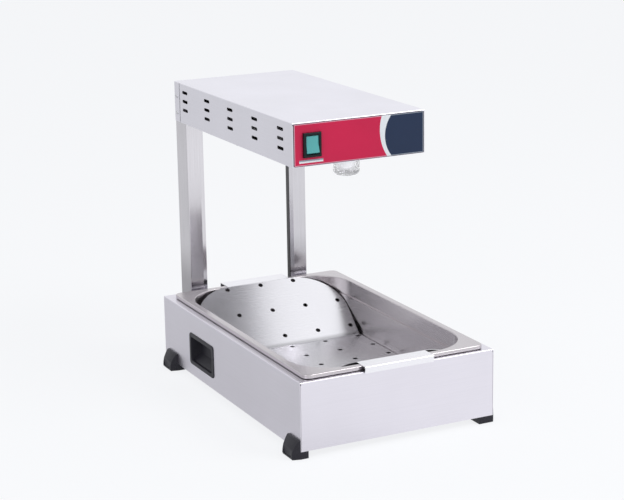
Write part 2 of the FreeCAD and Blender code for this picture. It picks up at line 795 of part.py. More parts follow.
def make_front_overlay():
    """The printed sheet on the head's front, cut out for the switch."""
    body = new_body("front_overlay")
    add(body, "front", "overlay_face", "head_front",
        rounded(rect("overlay_left", "overlay_right", "overlay_low", "overlay_high"), "overlay_corner"))
    cut(body, "front", "overlay_face", "head_front", switch_window())


def make_switch_bezel():
    """The switch's frame and housing: a flange on the overlay, a box behind it and a well for the rocker."""
    body = new_body("switch_bezel")
    flange = around("switch_x", "bezel_wide / 2", "switch_z", "bezel_tall / 2")
    add(body, "front", "bezel_face", "overlay_face", flange)
    soften(body, "bezel_round", edges(body, y="bezel_face"))
    add(body, "front", "overlay_face", "switch_back", switch_window("0"))
    well = around("switch_x", "rocker_wide / 2 + rocker_gap", "switch_z", "rocker_radius + rocker_gap")
    cut(body, "front", "bezel_face", "rocker_axis_y + rocker_back + rocker_radius / 3", well)
    cut(body, "side", "switch_x - switch_body_wide / 2", "switch_x + switch_body_wide / 2",
        (("rocker_axis_y", "switch_z"), "rocker_pin + rocker_pin_fit"))


def make_switch_terminals():
    """Three blades on the back of the switch."""
    blades = []
    for step in (-1, 0, 1):
        z = f"switch_z + terminal_pitch * {step}"
        blades.append(box("switch_blade", "switch_x - terminal_wide / 2", "switch_x + terminal_wide / 2",
                          "switch_back", "switch_back + terminal_long",
                          f"{z} - terminal_thick / 2", f"{z} + terminal_thick / 2"))
    group("switch_terminals", blades)


def make_switch_rocker():
    """The rocker: a shallow V front and round ends about its axis, at rest with the top pressed in."""
    centre = Vector(number("switch_x"), number("rocker_axis_y"), number("switch_z"))
    radius, apex, back = number("rocker_radius"), number("rocker_apex"), number("rocker_back")
    width, pin_long = number("rocker_wide"), number("switch_body_wide")
    half_swing = number("rocker_swing") / 2
    reach = math.hypot(radius, radius)
    ends = apex + math.tan(math.radians(half_swing)) * reach
    outline = [(-ends, -reach), (-apex, 0), (-ends, reach), (back, reach), (back, -reach)]
    tilt = Rotation(AXES["x"], -half_swing)
    corners = [centre - AXES["x"] * width / 2 + tilt.multVec(Vector(0, y, z)) for y, z in outline]
    wedge = Part.Face(Part.makePolygon([*corners, corners[0]])).extrude(AXES["x"] * width)
    drum = Part.makeCylinder(radius, width, centre - AXES["x"] * width / 2, AXES["x"])
    pin = Part.makeCylinder(number("rocker_pin"), pin_long, centre - AXES["x"] * pin_long / 2, AXES["x"])
    rocker = doc.addObject("Part::Feature", "switch_rocker")
    rocker.Shape = wedge.common(drum).fuse(pin).removeSplitter()
    keep(rocker, "switch_rocker")


def make_lamp():
    """A screw-in lamp: ring under the plate, thick glass jar, ceramic socket above and the bulb inside."""
    ring = new_body("lamp_holder_ring")
    centre = ("0", "lamp_y")
    add(ring, "top", "lamp_shoulder", "under_low", (centre, "lamp_ring"))
    soften(ring, "lamp_ring_tall / 3", edges(ring, z="lamp_shoulder"))
    cut(ring, "top", "lamp_shoulder", "under_low", (centre, "lamp_neck + lamp_gap"),
        *((place, "screw_hole") for place in lamp_screw_places()))

    outside = doc.addObject("PartDesign::Body", "glass_outside")
    add(outside, "top", "lamp_glass_low", "lamp_shoulder", (centre, "lamp_glass"))
    soften(outside, "lamp_glass_round", edges(outside, z="lamp_glass_low"))
    soften(outside, "lamp_shoulder_round", edges(outside, z="lamp_shoulder"))
    add(outside, "top", "lamp_shoulder", "neck_top", (centre, "lamp_neck"))
    inside = doc.addObject("PartDesign::Body", "glass_inside")
    floor = "lamp_glass_low + lamp_glass_floor"
    add(inside, "top", floor, "lamp_shoulder - lamp_glass_wall", (centre, "lamp_glass - lamp_glass_wall"))
    soften(inside, "lamp_glass_round - lamp_glass_wall", edges(inside, z=floor))
    add(inside, "top", "lamp_shoulder - lamp_glass_wall", "neck_top",
        (centre, "lamp_neck - lamp_glass_wall"))
    keep(minus("lamp_glass", outside, inside), "lamp_glass")

    socket = new_body("lamp_socket")
    add(socket, "top", "under_top", "socket_top", (centre, "lamp_socket"))
    soften(socket, "lamp_ring_tall", edges(socket, z="socket_top"))
    cut(socket, "top", "under_top", "under_top + lamp_socket_bore", (centre, "lamp_neck + lamp_gap"))
    cap_top = "socket_top - lamp_ring_tall"
    cut(socket, "top", "under_top + lamp_socket_bore", cap_top, (centre, "bulb_cap + lamp_gap"))
    cut(socket, "top", "under_top", "under_top + screw_long",
        *((place, "screw_hole") for place in lamp_screw_places()))

    bulb = new_body("lamp_bulb")
    cap_low = f"{cap_top} - bulb_cap_tall"
    add(bulb, "top", "bulb_low", cap_low, (centre, "bulb"))
    ends = [name for name in edges(bulb) if isinstance(bulb.Tip.Shape.getElement(name).Curve, Part.Circle)]
    soften(bulb, "bulb_round", ends)
    add(bulb, "top", f"{cap_low} - bulb_cap / 4", cap_top, (centre, "bulb_cap"))


def make_heater():
    """Two quartz tubes in a folded reflector trough over the window, with caps and a wire guard."""
    trough = new_body("heater_reflector")
    skin = "trough_sheet"
    brim = "trough_mouth + trough_flange"
    half = [("trough_mouth", "under_top"), (brim, "under_top"), (brim, f"under_top + {skin}"),
            (f"trough_mouth + {skin}", f"under_top + {skin}"), (f"trough_roof + {skin}", "trough_top")]
    inner = [("trough_roof", f"trough_top - {skin}")]
    right = inner + half
    left = [(f"-({x})", z) for x, z in reversed(right)]
    add(trough, "front", "trough_front", "trough_rear", right + left)
    ends = [("trough_mouth", "under_top"), ("trough_roof", f"trough_top - {skin}")]
    plate = ends + [(f"-({x})", z) for x, z in reversed(ends)]
    holes = [((mirrored(side, "tube_x"), "tube_z"), "tube + tube_fit") for side in SIDES.values()]
    for low, high in (("trough_front", f"trough_front + {skin}"), (f"trough_rear - {skin}", "trough_rear")):
        add(trough, "front", low, high, plate)
        cut(trough, "front", low, high, *holes)

    tubes, caps = [], []
    for side in SIDES.values():
        x = mirrored(side, "tube_x")
        long = "tube_rear - tube_front"
        outer = rod("quartz_outer", (x, "tube_front", "tube_z"), (0, 1, 0), "tube", long)
        bore = rod("quartz_bore", (x, "tube_front", "tube_z"), (0, 1, 0), "tube - tube_wall", long)
        tubes.append(minus("quartz_tube", outer, bore))
        for seat, out in (("trough_front", (0, -1, 0)), ("trough_rear", (0, 1, 0))):
            place = (x, seat, "tube_z")
            block = rod("cap_block", place, out, "tube_cap", "tube_cap_long")
            well = rod("cap_well", place, out, "tube + tube_cap_fit", "tube_overhang + tube_cap_fit")
            caps.append(minus("tube_cap_piece", block, well))
    group("quartz_tubes", tubes)
    group("tube_end_caps", caps)

    start, long = "trough_front + guard_margin", "trough_rear - trough_front - guard_margin * 2"
    wires = []
    for step in range(int(number(long) // number("guard_pitch"))):
        place = ("-guard_half", f"{start} + guard_pitch * ({step} + 1 / 2)", "under_top + guard_wire")
        wires.append(rod("guard_cross", place, (1, 0, 0), "guard_wire", "guard_half * 2"))
    for side in SIDES.values():
        place = (mirrored(side, "guard_side"), start, "under_top + guard_wire * 2.5")
        wires.append(rod("guard_side_wire", place, (0, 1, 0), "guard_wire", long))
    keep(fuse("wire_guard", wires), "wire_guard")


def make_terminal_block():
    body = new_body("terminal_block")
    add(body, "top", "under_top", "block_top",
        around("block_x", "block_wide / 2", "block_y", "block_long / 2"))
    grooves = [around(f"block_x + block_wide / 4 * {step}", "block_groove / 2", "block_top", "block_groove")
               for step in (-1, 0, 1)]
    cut(body, "front", "block_y - block_long / 2", "block_y + block_long / 2", *grooves)


def make_cable_gland():
    """The cable entry in the rear cover: a threaded stem, hexagon and dome outside, and its nut inside."""
    back = (0, 1, 0)
    place = ("gland_x", "head_rear", "gland_z")
    inside = ("gland_x", "head_rear - gland_inside", "gland_z")
    hexagon = primitive("Prism", "gland_hexagon", place, back, Circumradius="gland_hex",
                        Height="gland_hex_tall")
    stem = rod("gland_stem", inside, back, "gland", "gland_inside + gland_hex_tall")
    dome_place = ("gland_x", "head_rear + gland_hex_tall", "gland_z")
    dome = rod("gland_dome_body", dome_place, back, "gland_dome", "gland_dome_tall - gland_hex_tall")
    bore = rod("gland_bore_cut", inside, back, "gland_bore", "gland_inside + gland_dome_tall")
    keep(minus("cable_gland", fuse("gland_solid", [hexagon, stem, dome]), bore), "cable_gland")
    nut_place = ("gland_x", "head_rear - case_sheet - gland_nut_tall", "gland_z")
    nut = primitive("Prism", "gland_nut_blank", nut_place, back, Circumradius="gland_hex",
                    Height="gland_nut_tall")
    thread = rod("gland_nut_bore", nut_place, back, "gland + gland_fit", "gland_nut_tall")
    keep(minus("gland_nut", nut, thread), "gland_nut")


def lead_shape(points, radius, bend):
    """A wire along straight runs joined by tangent arcs."""
    parts = []
    start = points[0]
    for before, corner, after in zip(points, points[1:], points[2:]):
        arrive = (corner - before).normalize()
        leave = (after - corner).normalize()
        turn = arrive.getAngle(leave)
        tangent = bend * math.tan(turn / 2)
        begin = corner - arrive * tangent
        end = corner + leave * tangent
        inward = (leave - arrive).normalize()
        middle = corner + inward * (bend / math.cos(turn / 2) - bend)
        parts.append(Part.LineSegment(start, begin).toShape())
        parts.append(Part.Arc(begin, middle, end).toShape())
        start = end
    parts.append(Part.LineSegment(start, points[-1]).toShape())
    path = Part.Wire(parts)
    section = Part.Wire(Part.makeCircle(radius, points[0], points[1] - points[0]))
    tube = path.makePipeShell([section], True, False)
    expected = math.pi * radius**2 * path.Length
    if abs(tube.Volume / expected - 1) > LEAD_VOLUME_SHARE:
        raise ValueError("a lead's volume is not its section times its length")
    return tube


def make_wiring():
    """The insulated leads inside the head: gland to block, then on to the switch, lamp and heater."""
    radius, bend, gap = number("lead"), number("lead_bend"), number("lead_gap")
    block_x, block_y = number("block_x"), number("block_y")
    block_front = block_y - number("block_long") / 2 - gap
    block_rear = block_y + number("block_long") / 2 + gap
    quarter = number("block_wide") / 4
    low = number("under_top") + number("block_tall") / 3
    cap_z = number("tube_z")
    cap_y = number("trough_rear") + number("tube_cap_long") / 2
    blade_y = number("switch_back") + number("terminal_long") + gap
    blade_z = number("switch_z") - number("terminal_pitch")
    turn_y = blade_y + bend * 3
    entry_y = number("head_rear") - number("gland_inside") - gap
    gland_x, gland_z = number("gland_x"), number("gland_z")
    run_y = cap_y + number("tube_cap_long") / 2 + bend * 1.2
    cap_x = number("tube_x") + number("tube_cap") + gap
    between = number("tube_x") - number("tube_cap") - gap
    routes = [
        [Vector(gland_x, entry_y, gland_z), Vector(gland_x, run_y, gland_z), Vector(block_x, run_y, gland_z),
         Vector(block_x, run_y, low), Vector(block_x, block_rear, low)],
        [Vector(block_x - quarter, block_front, low), Vector(block_x - quarter, turn_y, low),
         Vector(block_x - quarter, turn_y, blade_z), Vector(number("switch_x"), turn_y, blade_z),
         Vector(number("switch_x"), blade_y, blade_z)],
        [Vector(block_x + quarter, block_front, low), Vector(block_x + quarter, number("lamp_y"), low),
         Vector(-number("lamp_socket") - gap, number("lamp_y"), low)],
        [Vector(block_x + quarter, block_rear, cap_z), Vector(block_x + quarter, cap_y, cap_z),
         Vector(-cap_x, cap_y, cap_z)],
        [Vector(-between, cap_y, cap_z), Vector(between, cap_y, cap_z)],
    ]
    wiring = doc.addObject("Part::Feature", "wiring")
    wiring.Shape = Part.makeCompound([lead_shape(route, radius, bend) for route in routes])
    keep(wiring, "wiring")


def rounded_slab(half_x, half_y, radius, low, high, end_half_x=None, end_half_y=None):
    """A prism over a rounded rectangle about the pan's middle, or a taper to another one below."""
    def wire(x, y, z):
        middle = number("pan_middle")
        corners = [Vector(x, middle + y, z), Vector(-x, middle + y, z), Vector(-x, middle - y, z),
                   Vector(x, middle - y, z)]
        path = Part.Wire(Part.makePolygon([*corners, corners[0]]).Edges)
        block = Part.Face(path).extrude(Vector(0, 0, 1))
        upright = [edge for edge in block.Edges if abs(edge.tangentAt(edge.FirstParameter).z) > 1 - TOUCH]
        bottom = block.makeFillet(radius, upright).Faces
        return min(bottom, key=lambda face: face.CenterOfMass.z).OuterWire
    if end_half_x is None:
        return Part.Face(wire(half_x, half_y, low)).extrude(Vector(0, 0, high - low))
    return Part.makeLoft([wire(half_x, half_y, high), wire(end_half_x, end_half_y, low)], True, True)


def lies_at(edge, axis, place):
    """Whether an edge stays at one place along an axis."""
    low, high = getattr(edge.BoundBox, f"{axis}Min"), getattr(edge.BoundBox, f"{axis}Max")
    return abs(low - place) < TOUCH and abs(high - place) < TOUCH


def round_at(shape, radius, z):
    """Rounds the edges that lie flat at one height."""
    return shape.makeFillet(radius, [edge for edge in shape.Edges if lies_at(edge, "Z", z)])


def pan_vessel(grow):
    """The pan's drawn form, inside for a growth of zero and outside for one of the sheet's thickness."""
    shoulder, draft = number("pan_shoulder"), number("pan_draft")
    half_x, half_y = number("wall_half_x") + grow, number("wall_half_y") + grow
    low = number("pan_low") + number("pan_sheet") - grow
    step = number("shoulder_z") + number("pan_sheet") - grow
    mouth = rounded_slab(half_x, half_y, number("pan_corner") + grow, step, number("rim_top"))
    corner = number("pan_corner") + grow - shoulder - draft
    well = rounded_slab(half_x - shoulder, half_y - shoulder, corner, low, step,
                        half_x - shoulder - draft, half_y - shoulder - draft)
    return mouth.fuse(round_at(well, number("pan_foot_round") + grow, low)).removeSplitter()


def make_gn_pan():
    """A drawn gastronorm pan: stepped and drafted well, flat rim and a turned-down lip."""
    skin, top, under = number("pan_sheet"), number("rim_top"), number("rim_under")
    half_x, half_y, corner = number("pan_half_x"), number("pan_half_y"), number("pan_rim_corner")
    lip_low = top - number("pan_lip")
    rim = round_at(rounded_slab(half_x, half_y, corner, lip_low, top), number("pan_rim_round"), top)
    hollow = round_at(rounded_slab(half_x - skin, half_y - skin, corner - skin, lip_low, under),
                      number("pan_rim_round") - skin, under)
    vessel = pan_vessel(skin)
    shape = rim.cut(hollow).fuse(vessel).cut(pan_vessel(0)).removeSplitter()
    reach_x, reach_y = half_x - corner / 2, half_y - corner / 2
    inner = [edge for edge in shape.Edges if lies_at(edge, "Z", top)
             and -reach_x < edge.BoundBox.XMin and edge.BoundBox.XMax < reach_x
             and -reach_y < edge.BoundBox.YMin - number("pan_middle")
             and edge.BoundBox.YMax - number("pan_middle") < reach_y]
    pan = doc.addObject("Part::Feature", "gn_pan")
    pan.Shape = shape.makeFillet(number("pan_rim_round"), inner)
    keep(pan, "gn_pan")


def flat_sheet(origin, forward, under, points, holes=()):
    """A flat sheet with its outline in X and a forward direction, thickened to its under side."""
    skin = number("insert_sheet")
    place = [origin + AXES["x"] * x + forward * run for x, run in points]
    plate = Part.Face(Part.makePolygon([*place, place[0]])).extrude(under * skin)
    for x, run in holes:
        spot = origin + AXES["x"] * x + forward * run
        plate = plate.cut(Part.makeCylinder(number("drain_hole"), skin * 3, spot - under * skin, under))
    return plate


def hole_row(run, columns):
    return [(number("drain_pitch_x") * column, run) for column in columns]


def insert_end(crease_y, fold_y, half, flare, flare_run, holes=()):
    """A rising end of the insert, from its crease to its fold, with large round upper corners."""
    crease = Vector(0, crease_y, number("insert_floor"))
    rise = Vector(0, fold_y, number("insert_top")) - crease
    length = rise.Length
    forward = rise.normalize()
    under = Vector(0, forward.z, -forward.y) * math.copysign(1, forward.y)
    wide = half + flare
    right = [(half, 0), (wide, flare_run), (wide, length)]
    plate = flat_sheet(crease, forward, under, right + [(-x, run) for x, run in reversed(right)], holes)
    corners = [Part.Vertex(crease + AXES["x"] * side * wide + forward * length) for side in SIDES.values()]
    upright = [edge for edge in plate.Edges if any(edge.distToShape(corner)[0] < TOUCH for corner in corners)
               and abs(edge.tangentAt(edge.FirstParameter).dot(under)) > 1 - TOUCH]
    return plate.makeFillet(number("insert_corner"), upright), under


def crease_fill(crease_y, under, half):
    """The outside of the bend between the insert's floor and a rising end."""
    crease, skin = Vector(-half, crease_y, number("insert_floor")), number("insert_sheet")
    middle = (under - AXES["z"]).normalize()
    outline = [crease, crease - AXES["z"] * skin, crease + middle * skin, crease + under * skin, crease]
    return Part.Face(Part.makePolygon(outline)).extrude(Vector(half * 2, 0, 0))


def make_perforated_insert():
    """One bent sheet: perforated floor, sloped rear, upright front, and a hook over the base at each end."""
    skin, top, rest = number("insert_sheet"), number("insert_top"), number("rim_top")
    half, front_half, hook = number("insert_half"), number("insert_front_half"), number("hook_half")
    rear_crease, front_crease = number("insert_rear_crease"), number("insert_front_crease")
    wide, middle = (-2, -1, 0, 1, 2), (-1, 0, 1)
    pitch, first = number("drain_pitch_y"), number("drain_first_y")
    floor_holes = hole_row(first - pitch * (DRAIN_FLOOR_ROWS - 1), middle)
    for row in range(DRAIN_FLOOR_ROWS - 1):
        floor_holes += hole_row(first - pitch * row, wide)
    right = [(front_half, front_crease), (half, number("insert_corner_start")), (half, rear_crease)]
    floor = flat_sheet(Vector(0, 0, number("insert_floor")), AXES["y"], -AXES["z"],
                       right + [(-x, y) for x, y in reversed(right)], floor_holes)
    slope_holes = (hole_row(number("drain_low_run"), wide) + hole_row(number("drain_mid_run"), wide)
                   + hole_row(number("drain_high_run"), middle))
    flare = number("insert_flare")
    rear, rear_under = insert_end(rear_crease, number("insert_rear_fold"), half, flare,
                                  number("insert_flare_run"), slope_holes)
    front, front_under = insert_end(front_crease, number("insert_front_fold"), half + flare, 0, skin)
    long = number("insert_rear_fold") - number("insert_front_fold")
    trim = Part.makeBox(front_half * 2, long, long, Vector(-front_half, number("insert_front_fold") * 2, 0))
    shape = floor.fuse([rear, front.common(trim), crease_fill(rear_crease, rear_under, half),
                        crease_fill(front_crease, front_under, front_half)])
    bends = []
    for fold, side in ((number("insert_rear_fold"), 1), (number("insert_front_fold"), -1)):
        reach = number("hook_outer") * side
        low_y, high_y = sorted((fold, reach))
        ledge = Part.makeBox(hook * 2, high_y - low_y, skin, Vector(-hook, low_y, rest))
        lip_place = Vector(-hook, min(reach, reach - skin * side), rest - number("hook_lip"))
        lip = Part.makeBox(hook * 2, skin, top - lip_place.z, lip_place)
        shape = shape.fuse([ledge, lip])
        bends += [(fold, top), (reach, top)]
    shape = shape.removeSplitter()
    picked = [edge for edge in shape.Edges
              if any(lies_at(edge, "Y", y) and lies_at(edge, "Z", z) for y, z in bends)]
    insert = doc.addObject("Part::Feature", "perforated_insert")
    insert.Shape = shape.makeFillet(number("insert_bend"), picked)
    keep(insert, "perforated_insert")


def make_grip(name, side):
    """A moulded cup in the side wall: frame on the wall, well behind it and a sloped lower face."""
    body = new_body(f"grip_{name}")
    face = "base_half_x + grip_proud"
    back = "base_half_x - grip_deep"
    add(body, "side", *span(side, "base_half_x", face), rounded(grip_window("0"), "grip_round"))
    soften(body, "grip_proud / 2", edges(body, x="base_half_x + grip_proud"))
    add(body, "side", *span(side, back, "base_half_x"), rounded(grip_window("grip_frame"), "grip_round"))
    cut(body, "side", *span(side, f"{back} + grip_wall", face),
        rounded(grip_window("grip_frame + grip_wall"), "grip_round - grip_wall"))
    low = "grip_low + grip_frame + grip_wall / 2"
    inner = f"{back} + grip_wall / 2"
    ramp = [("base_half_x - grip_wall", low), (inner, low), (inner, f"{low} + grip_slope")]
    add(body, "front", "grip_front + grip_frame + grip_wall / 2", "grip_rear - grip_frame - grip_wall / 2",
        [(mirrored(side, x), z) for x, z in ramp])


def make_foot(name, side, end_y):
    """A moulded foot: a pad under the corner and a curved lug up the side wall, with tapered ends."""
    body = new_body(f"foot_{name}")
    kind = "left" if side == LEFT else "right"
    proud, up, crest, inward = (f"foot_{kind}_{word}" for word in ("proud", "up", "crest", "in"))
    height = f"(base_low + {up})"
    profile = [(f"base_half_x - {inward}", "0"), (f"base_half_x - {inward}", "base_low"),
               ("base_half_x", "base_low"), ("base_half_x", height), (f"base_half_x + {crest}", height)]
    profile += [(f"base_half_x + {proud} * {out}", f"{height} * {rise}") for rise, out in FOOT_CURVE_SHARES]
    profile.append((f"base_half_x + {proud} - {crest} / 3", "0"))
    add(body, "front", end_y, f"{end_y} + foot_long", [(mirrored(side, x), z) for x, z in profile])
    outer = f"base_half_x + {proud} + overrun"
    for near, far in ((end_y, f"{end_y} + foot_end_taper"),
                      (f"{end_y} + foot_long", f"{end_y} + foot_long - foot_end_taper")):
        corner = [("base_half_x", near), (f"base_half_x + {proud}", far), (outer, far), (outer, near)]
        cut(body, "top", "0", f"base_low + {up}", [(mirrored(side, x), y) for x, y in corner])
    if side == LEFT:
        cut(body, "side", *span(side, f"base_half_x + {proud} - foot_panel_deep", outer),
            rect(f"{end_y} + foot_panel_margin", f"{end_y} + foot_long - foot_panel_margin",
                 "foot_panel_low", "foot_panel_high"))
    place = (mirrored(side, "base_half_x - foot_screw_in"), f"{end_y} + foot_screw_y")
    cut(body, "top", "0", "foot_bore_deep", (place, "foot_bore"))
    cut(body, "top", "foot_bore_deep", "base_low", (place, "screw_hole"))


def make_fasteners():
    down, back = (0, 0, -1), (0, 1, 0)
    screws("bottom_plate_screws", [(x, y, "base_low") for x, y in floor_screw_places()], down)
    group("foot_screws", [fastener("foot_screw", (x, y, "foot_bore_deep"), down, "screw_head",
                                   "screw_head_tall", "screw", "foot_screw_long")
                          for x, y in foot_screw_places()])
    bolt_places = [(x, "post_front + post_sheet", z) for x, z in post_bolt_places()]
    screws("post_bolts", bolt_places, back, "bolt")
    nuts = []
    for x, z in post_bolt_places():
        place = (x, "base_half_y - case_sheet - nut_tall", z)
        blank = primitive("Prism", "post_nut_blank", place, back, Circumradius="nut_radius",
                          Height="nut_tall")
        nuts.append(minus("post_nut", blank, rod("post_nut_bore", place, back, "bolt_hole", "nut_tall")))
    group("post_nuts", nuts)
    group("head_side_screws", [
        fastener("head_side_screw", (mirrored(side, "head_half"), "side_screw_y", z), (side, 0, 0),
                 "screw_head", "screw_head_tall", "screw", "screw_long")
        for side in SIDES.values() for z in ("side_screw_low", "side_screw_high")])
    screws("underside_screws", [(x, y, "head_low") for x, y in under_screw_places()], down)
    screws("lamp_screws", [(x, y, "lamp_shoulder") for x, y in lamp_screw_places()], down)


def check_all():
    """Every object must have recomputed, and every sub-part must be a valid shape."""
    for thing in doc.Objects:
        if "Invalid" in thing.State or "Error" in thing.State:
            raise ValueError(f"{thing.Name} did not recompute: {thing.State}")
    for name, thing in finished.items():
        if thing.Shape.isNull() or not thing.Shape.isValid() or not thing.Shape.Solids:
            raise ValueError(f"{name} has no valid solid")


make_base_shell()
make_base_bottom_plate()
make_rear_mount_rail()
for word, side in SIDES.items():
    make_post(word, side)
    make_grip(word, side)
    make_foot(f"front_{word}", side, "foot_front_y")
    make_foot(f"rear_{word}", side, "foot_rear_y")
make_head_casing()
make_head_underside_plate()
make_head_rear_cover()
make_front_overlay()
make_switch_bezel()
make_switch_terminals()
make_switch_rocker()
make_lamp()
make_heater()
make_terminal_block()
make_cable_gland()
make_wiring()
make_gn_pan()
make_perforated_insert()
make_fasteners()
doc.recompute()
check_all()

os.makedirs("parts", exist_ok=True)
for name, thing in finished.items():
    thing.Shape.exportStep(f"parts/{name}.step")
    bounds = thing.Shape.BoundBox
    spans = " x ".join(f"{length:.1f}" for length in (bounds.XLength, bounds.YLength, bounds.ZLength))
    print(f"{name}: {len(thing.Shape.Solids)} solid(s), {spans} mm")
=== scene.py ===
"""The looks of a chip warmer: brushed steel, moulded plastic, glass and a printed front, in metres."""

import json
import math

import bmesh
import bpy
from mathutils import Matrix, Vector


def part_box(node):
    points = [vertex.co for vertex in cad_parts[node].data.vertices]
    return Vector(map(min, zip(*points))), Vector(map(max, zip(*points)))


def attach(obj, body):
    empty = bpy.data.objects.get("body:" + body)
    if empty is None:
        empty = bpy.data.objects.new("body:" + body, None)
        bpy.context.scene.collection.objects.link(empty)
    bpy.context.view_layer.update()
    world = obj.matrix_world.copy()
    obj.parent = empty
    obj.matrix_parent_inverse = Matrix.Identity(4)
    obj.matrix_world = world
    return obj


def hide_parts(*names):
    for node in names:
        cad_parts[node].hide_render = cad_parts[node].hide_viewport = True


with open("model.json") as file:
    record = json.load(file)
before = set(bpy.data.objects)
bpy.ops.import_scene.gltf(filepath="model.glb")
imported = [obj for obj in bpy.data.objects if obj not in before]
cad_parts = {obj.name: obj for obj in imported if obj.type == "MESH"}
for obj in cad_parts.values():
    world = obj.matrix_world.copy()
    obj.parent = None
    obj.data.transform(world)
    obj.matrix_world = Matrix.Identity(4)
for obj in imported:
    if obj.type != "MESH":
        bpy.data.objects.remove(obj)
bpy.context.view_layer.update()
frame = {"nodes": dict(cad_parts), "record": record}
NODES = frame["nodes"]
MM = 0.001
Y_AXIS = Vector((0, 1, 0))
Z_AXIS = Vector((0, 0, 1))


def middle_of(low, high):
    """The place at height zero under the middle of a box."""
    return Vector(((low.x + high.x) / 2, (low.y + high.y) / 2, 0))


# The camera's place, turns and focal length, fitted to points of the photograph at the pan rim's scale.
BASE_LOW, BASE_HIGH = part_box("base_shell")
BASE_MIDDLE = middle_of(BASE_LOW, BASE_HIGH)
CAMERA_PLACE = BASE_MIDDLE + Vector((-1.3032, -2.6094, 1.0133))
CAMERA_YAW = 0.45932
CAMERA_PITCH = 0.25568
CAMERA_ROLL = -0.01652
CAMERA_LENS = 102.61
SENSOR = 36.0

# The surround that the camera and glass see, the studio that metal sees, dimmer on its left and below, and
# the even light that matt surfaces get.
PALE = (0.930, 0.939, 0.956, 1.0)
STUDIO_SIDE = (0.8, -0.2, 0.55)
STUDIO_SPAN = (-0.75, 0.25)
STUDIO_DIM = 0.80
EVEN_COLOUR = (0.95, 0.97, 1.0, 1.0)
EVEN_LIGHT = 0.62

# The floor glows over a matt base that takes the shadow. Metal sees it dimmer on its left and at its back,
# and dimmest near the object.
FLOOR_SIZE = 40.0
FLOOR_DROP = 0.4 * MM
FLOOR_COLOUR = (0.86, 0.865, 0.88, 1.0)
FLOOR_GLOW = 0.80
FLOOR_STRENGTH = 1.08
FLOOR_SIDE = (0.7, -0.7, 0.0)
FLOOR_NEAR_SPAN = (-0.12, 0.35)
FLOOR_NEAR_DIM = 0.69
FLOOR_FAR_SPAN = (-1.2, -0.5)
FLOOR_FAR_DIM = 0.78

# Square lamps: their places and their target from the base's middle, sizes and watts.
LAMP_TARGET = Vector((0, 0, 0.2))
SOFTBOXES = {"key": (Vector((1.6, -1.8, 2.4)), 1.6, 34.0), "fill": (Vector((-2.2, -1.2, 1.6)), 1.4, 8.0)}


def make_camera():
    """The camera at the photograph's place."""
    data = bpy.data.cameras.new("camera")
    data.lens = CAMERA_LENS
    data.sensor_width = SENSOR
    camera = bpy.data.objects.new("camera", data)
    bpy.context.scene.collection.objects.link(camera)
    forward = Vector((math.sin(CAMERA_YAW) * math.cos(CAMERA_PITCH),
                      math.cos(CAMERA_YAW) * math.cos(CAMERA_PITCH), -math.sin(CAMERA_PITCH)))
    level = Vector((math.cos(CAMERA_YAW), -math.sin(CAMERA_YAW), 0))
    upright = level.cross(forward)
    right = level * math.cos(CAMERA_ROLL) + upright * math.sin(CAMERA_ROLL)
    up = upright * math.cos(CAMERA_ROLL) - level * math.sin(CAMERA_ROLL)
    facing = Matrix((right, up, -forward)).transposed().to_4x4()
    camera.matrix_world = Matrix.Translation(CAMERA_PLACE) @ facing
    bpy.context.scene.camera = camera


def make_softboxes():
    """Square lamps that face the object."""
    for name, (offset, size, watts) in SOFTBOXES.items():
        data = bpy.data.lights.new(name, "AREA")
        data.shape = "RECTANGLE"
        data.size, data.size_y, data.energy = size, size, watts
        lamp = bpy.data.objects.new(name, data)
        bpy.context.scene.collection.objects.link(lamp)
        lamp.location = BASE_MIDDLE + offset
        lamp.rotation_mode = "QUATERNION"
        lamp.rotation_quaternion = (LAMP_TARGET - offset).to_track_quat("-Z", "Y")


def map_range(tree, source, span, low, high, smooth=False):
    """Maps an output from a span to a low and a high."""
    mapped = tree.nodes.new("ShaderNodeMapRange")
    if smooth:
        mapped.interpolation_type = "SMOOTHSTEP"
    for socket, number in (("From Min", span[0]), ("From Max", span[1]), ("To Min", low), ("To Max", high)):
        mapped.inputs[socket].default_value = number
    tree.links.new(source, mapped.inputs["Value"])
    return mapped.outputs["Result"]


def toward(tree, source, direction, span, low, high):
    """How far a vector points in a direction, mapped from a span to a low and a high."""
    product = tree.nodes.new("ShaderNodeVectorMath")
    product.operation = "DOT_PRODUCT"
    product.inputs[1].default_value = direction
    tree.links.new(source, product.inputs[0])
    return map_range(tree, product.outputs["Value"], span, low, high, smooth=True)


def combined(tree, operation, first, second):
    """A math node's result, from two outputs."""
    made = tree.nodes.new("ShaderNodeMath")
    made.operation = operation
    tree.links.new(first, made.inputs[0])
    tree.links.new(second, made.inputs[1])
    return made.outputs[0]


def mixed(tree, share, first, second):
    """The first shader, with a share of the second in its place."""
    made = tree.nodes.new("ShaderNodeMixShader")
    tree.links.new(share, made.inputs["Fac"])
    tree.links.new(first, made.inputs[1])
    tree.links.new(second, made.inputs[2])
    return made.outputs[0]


def coloured(tree, kind, colour):
    """A shader node of a kind, with its colour set."""
    made = tree.nodes.new(kind)
    made.inputs["Color"].default_value = colour
    return made


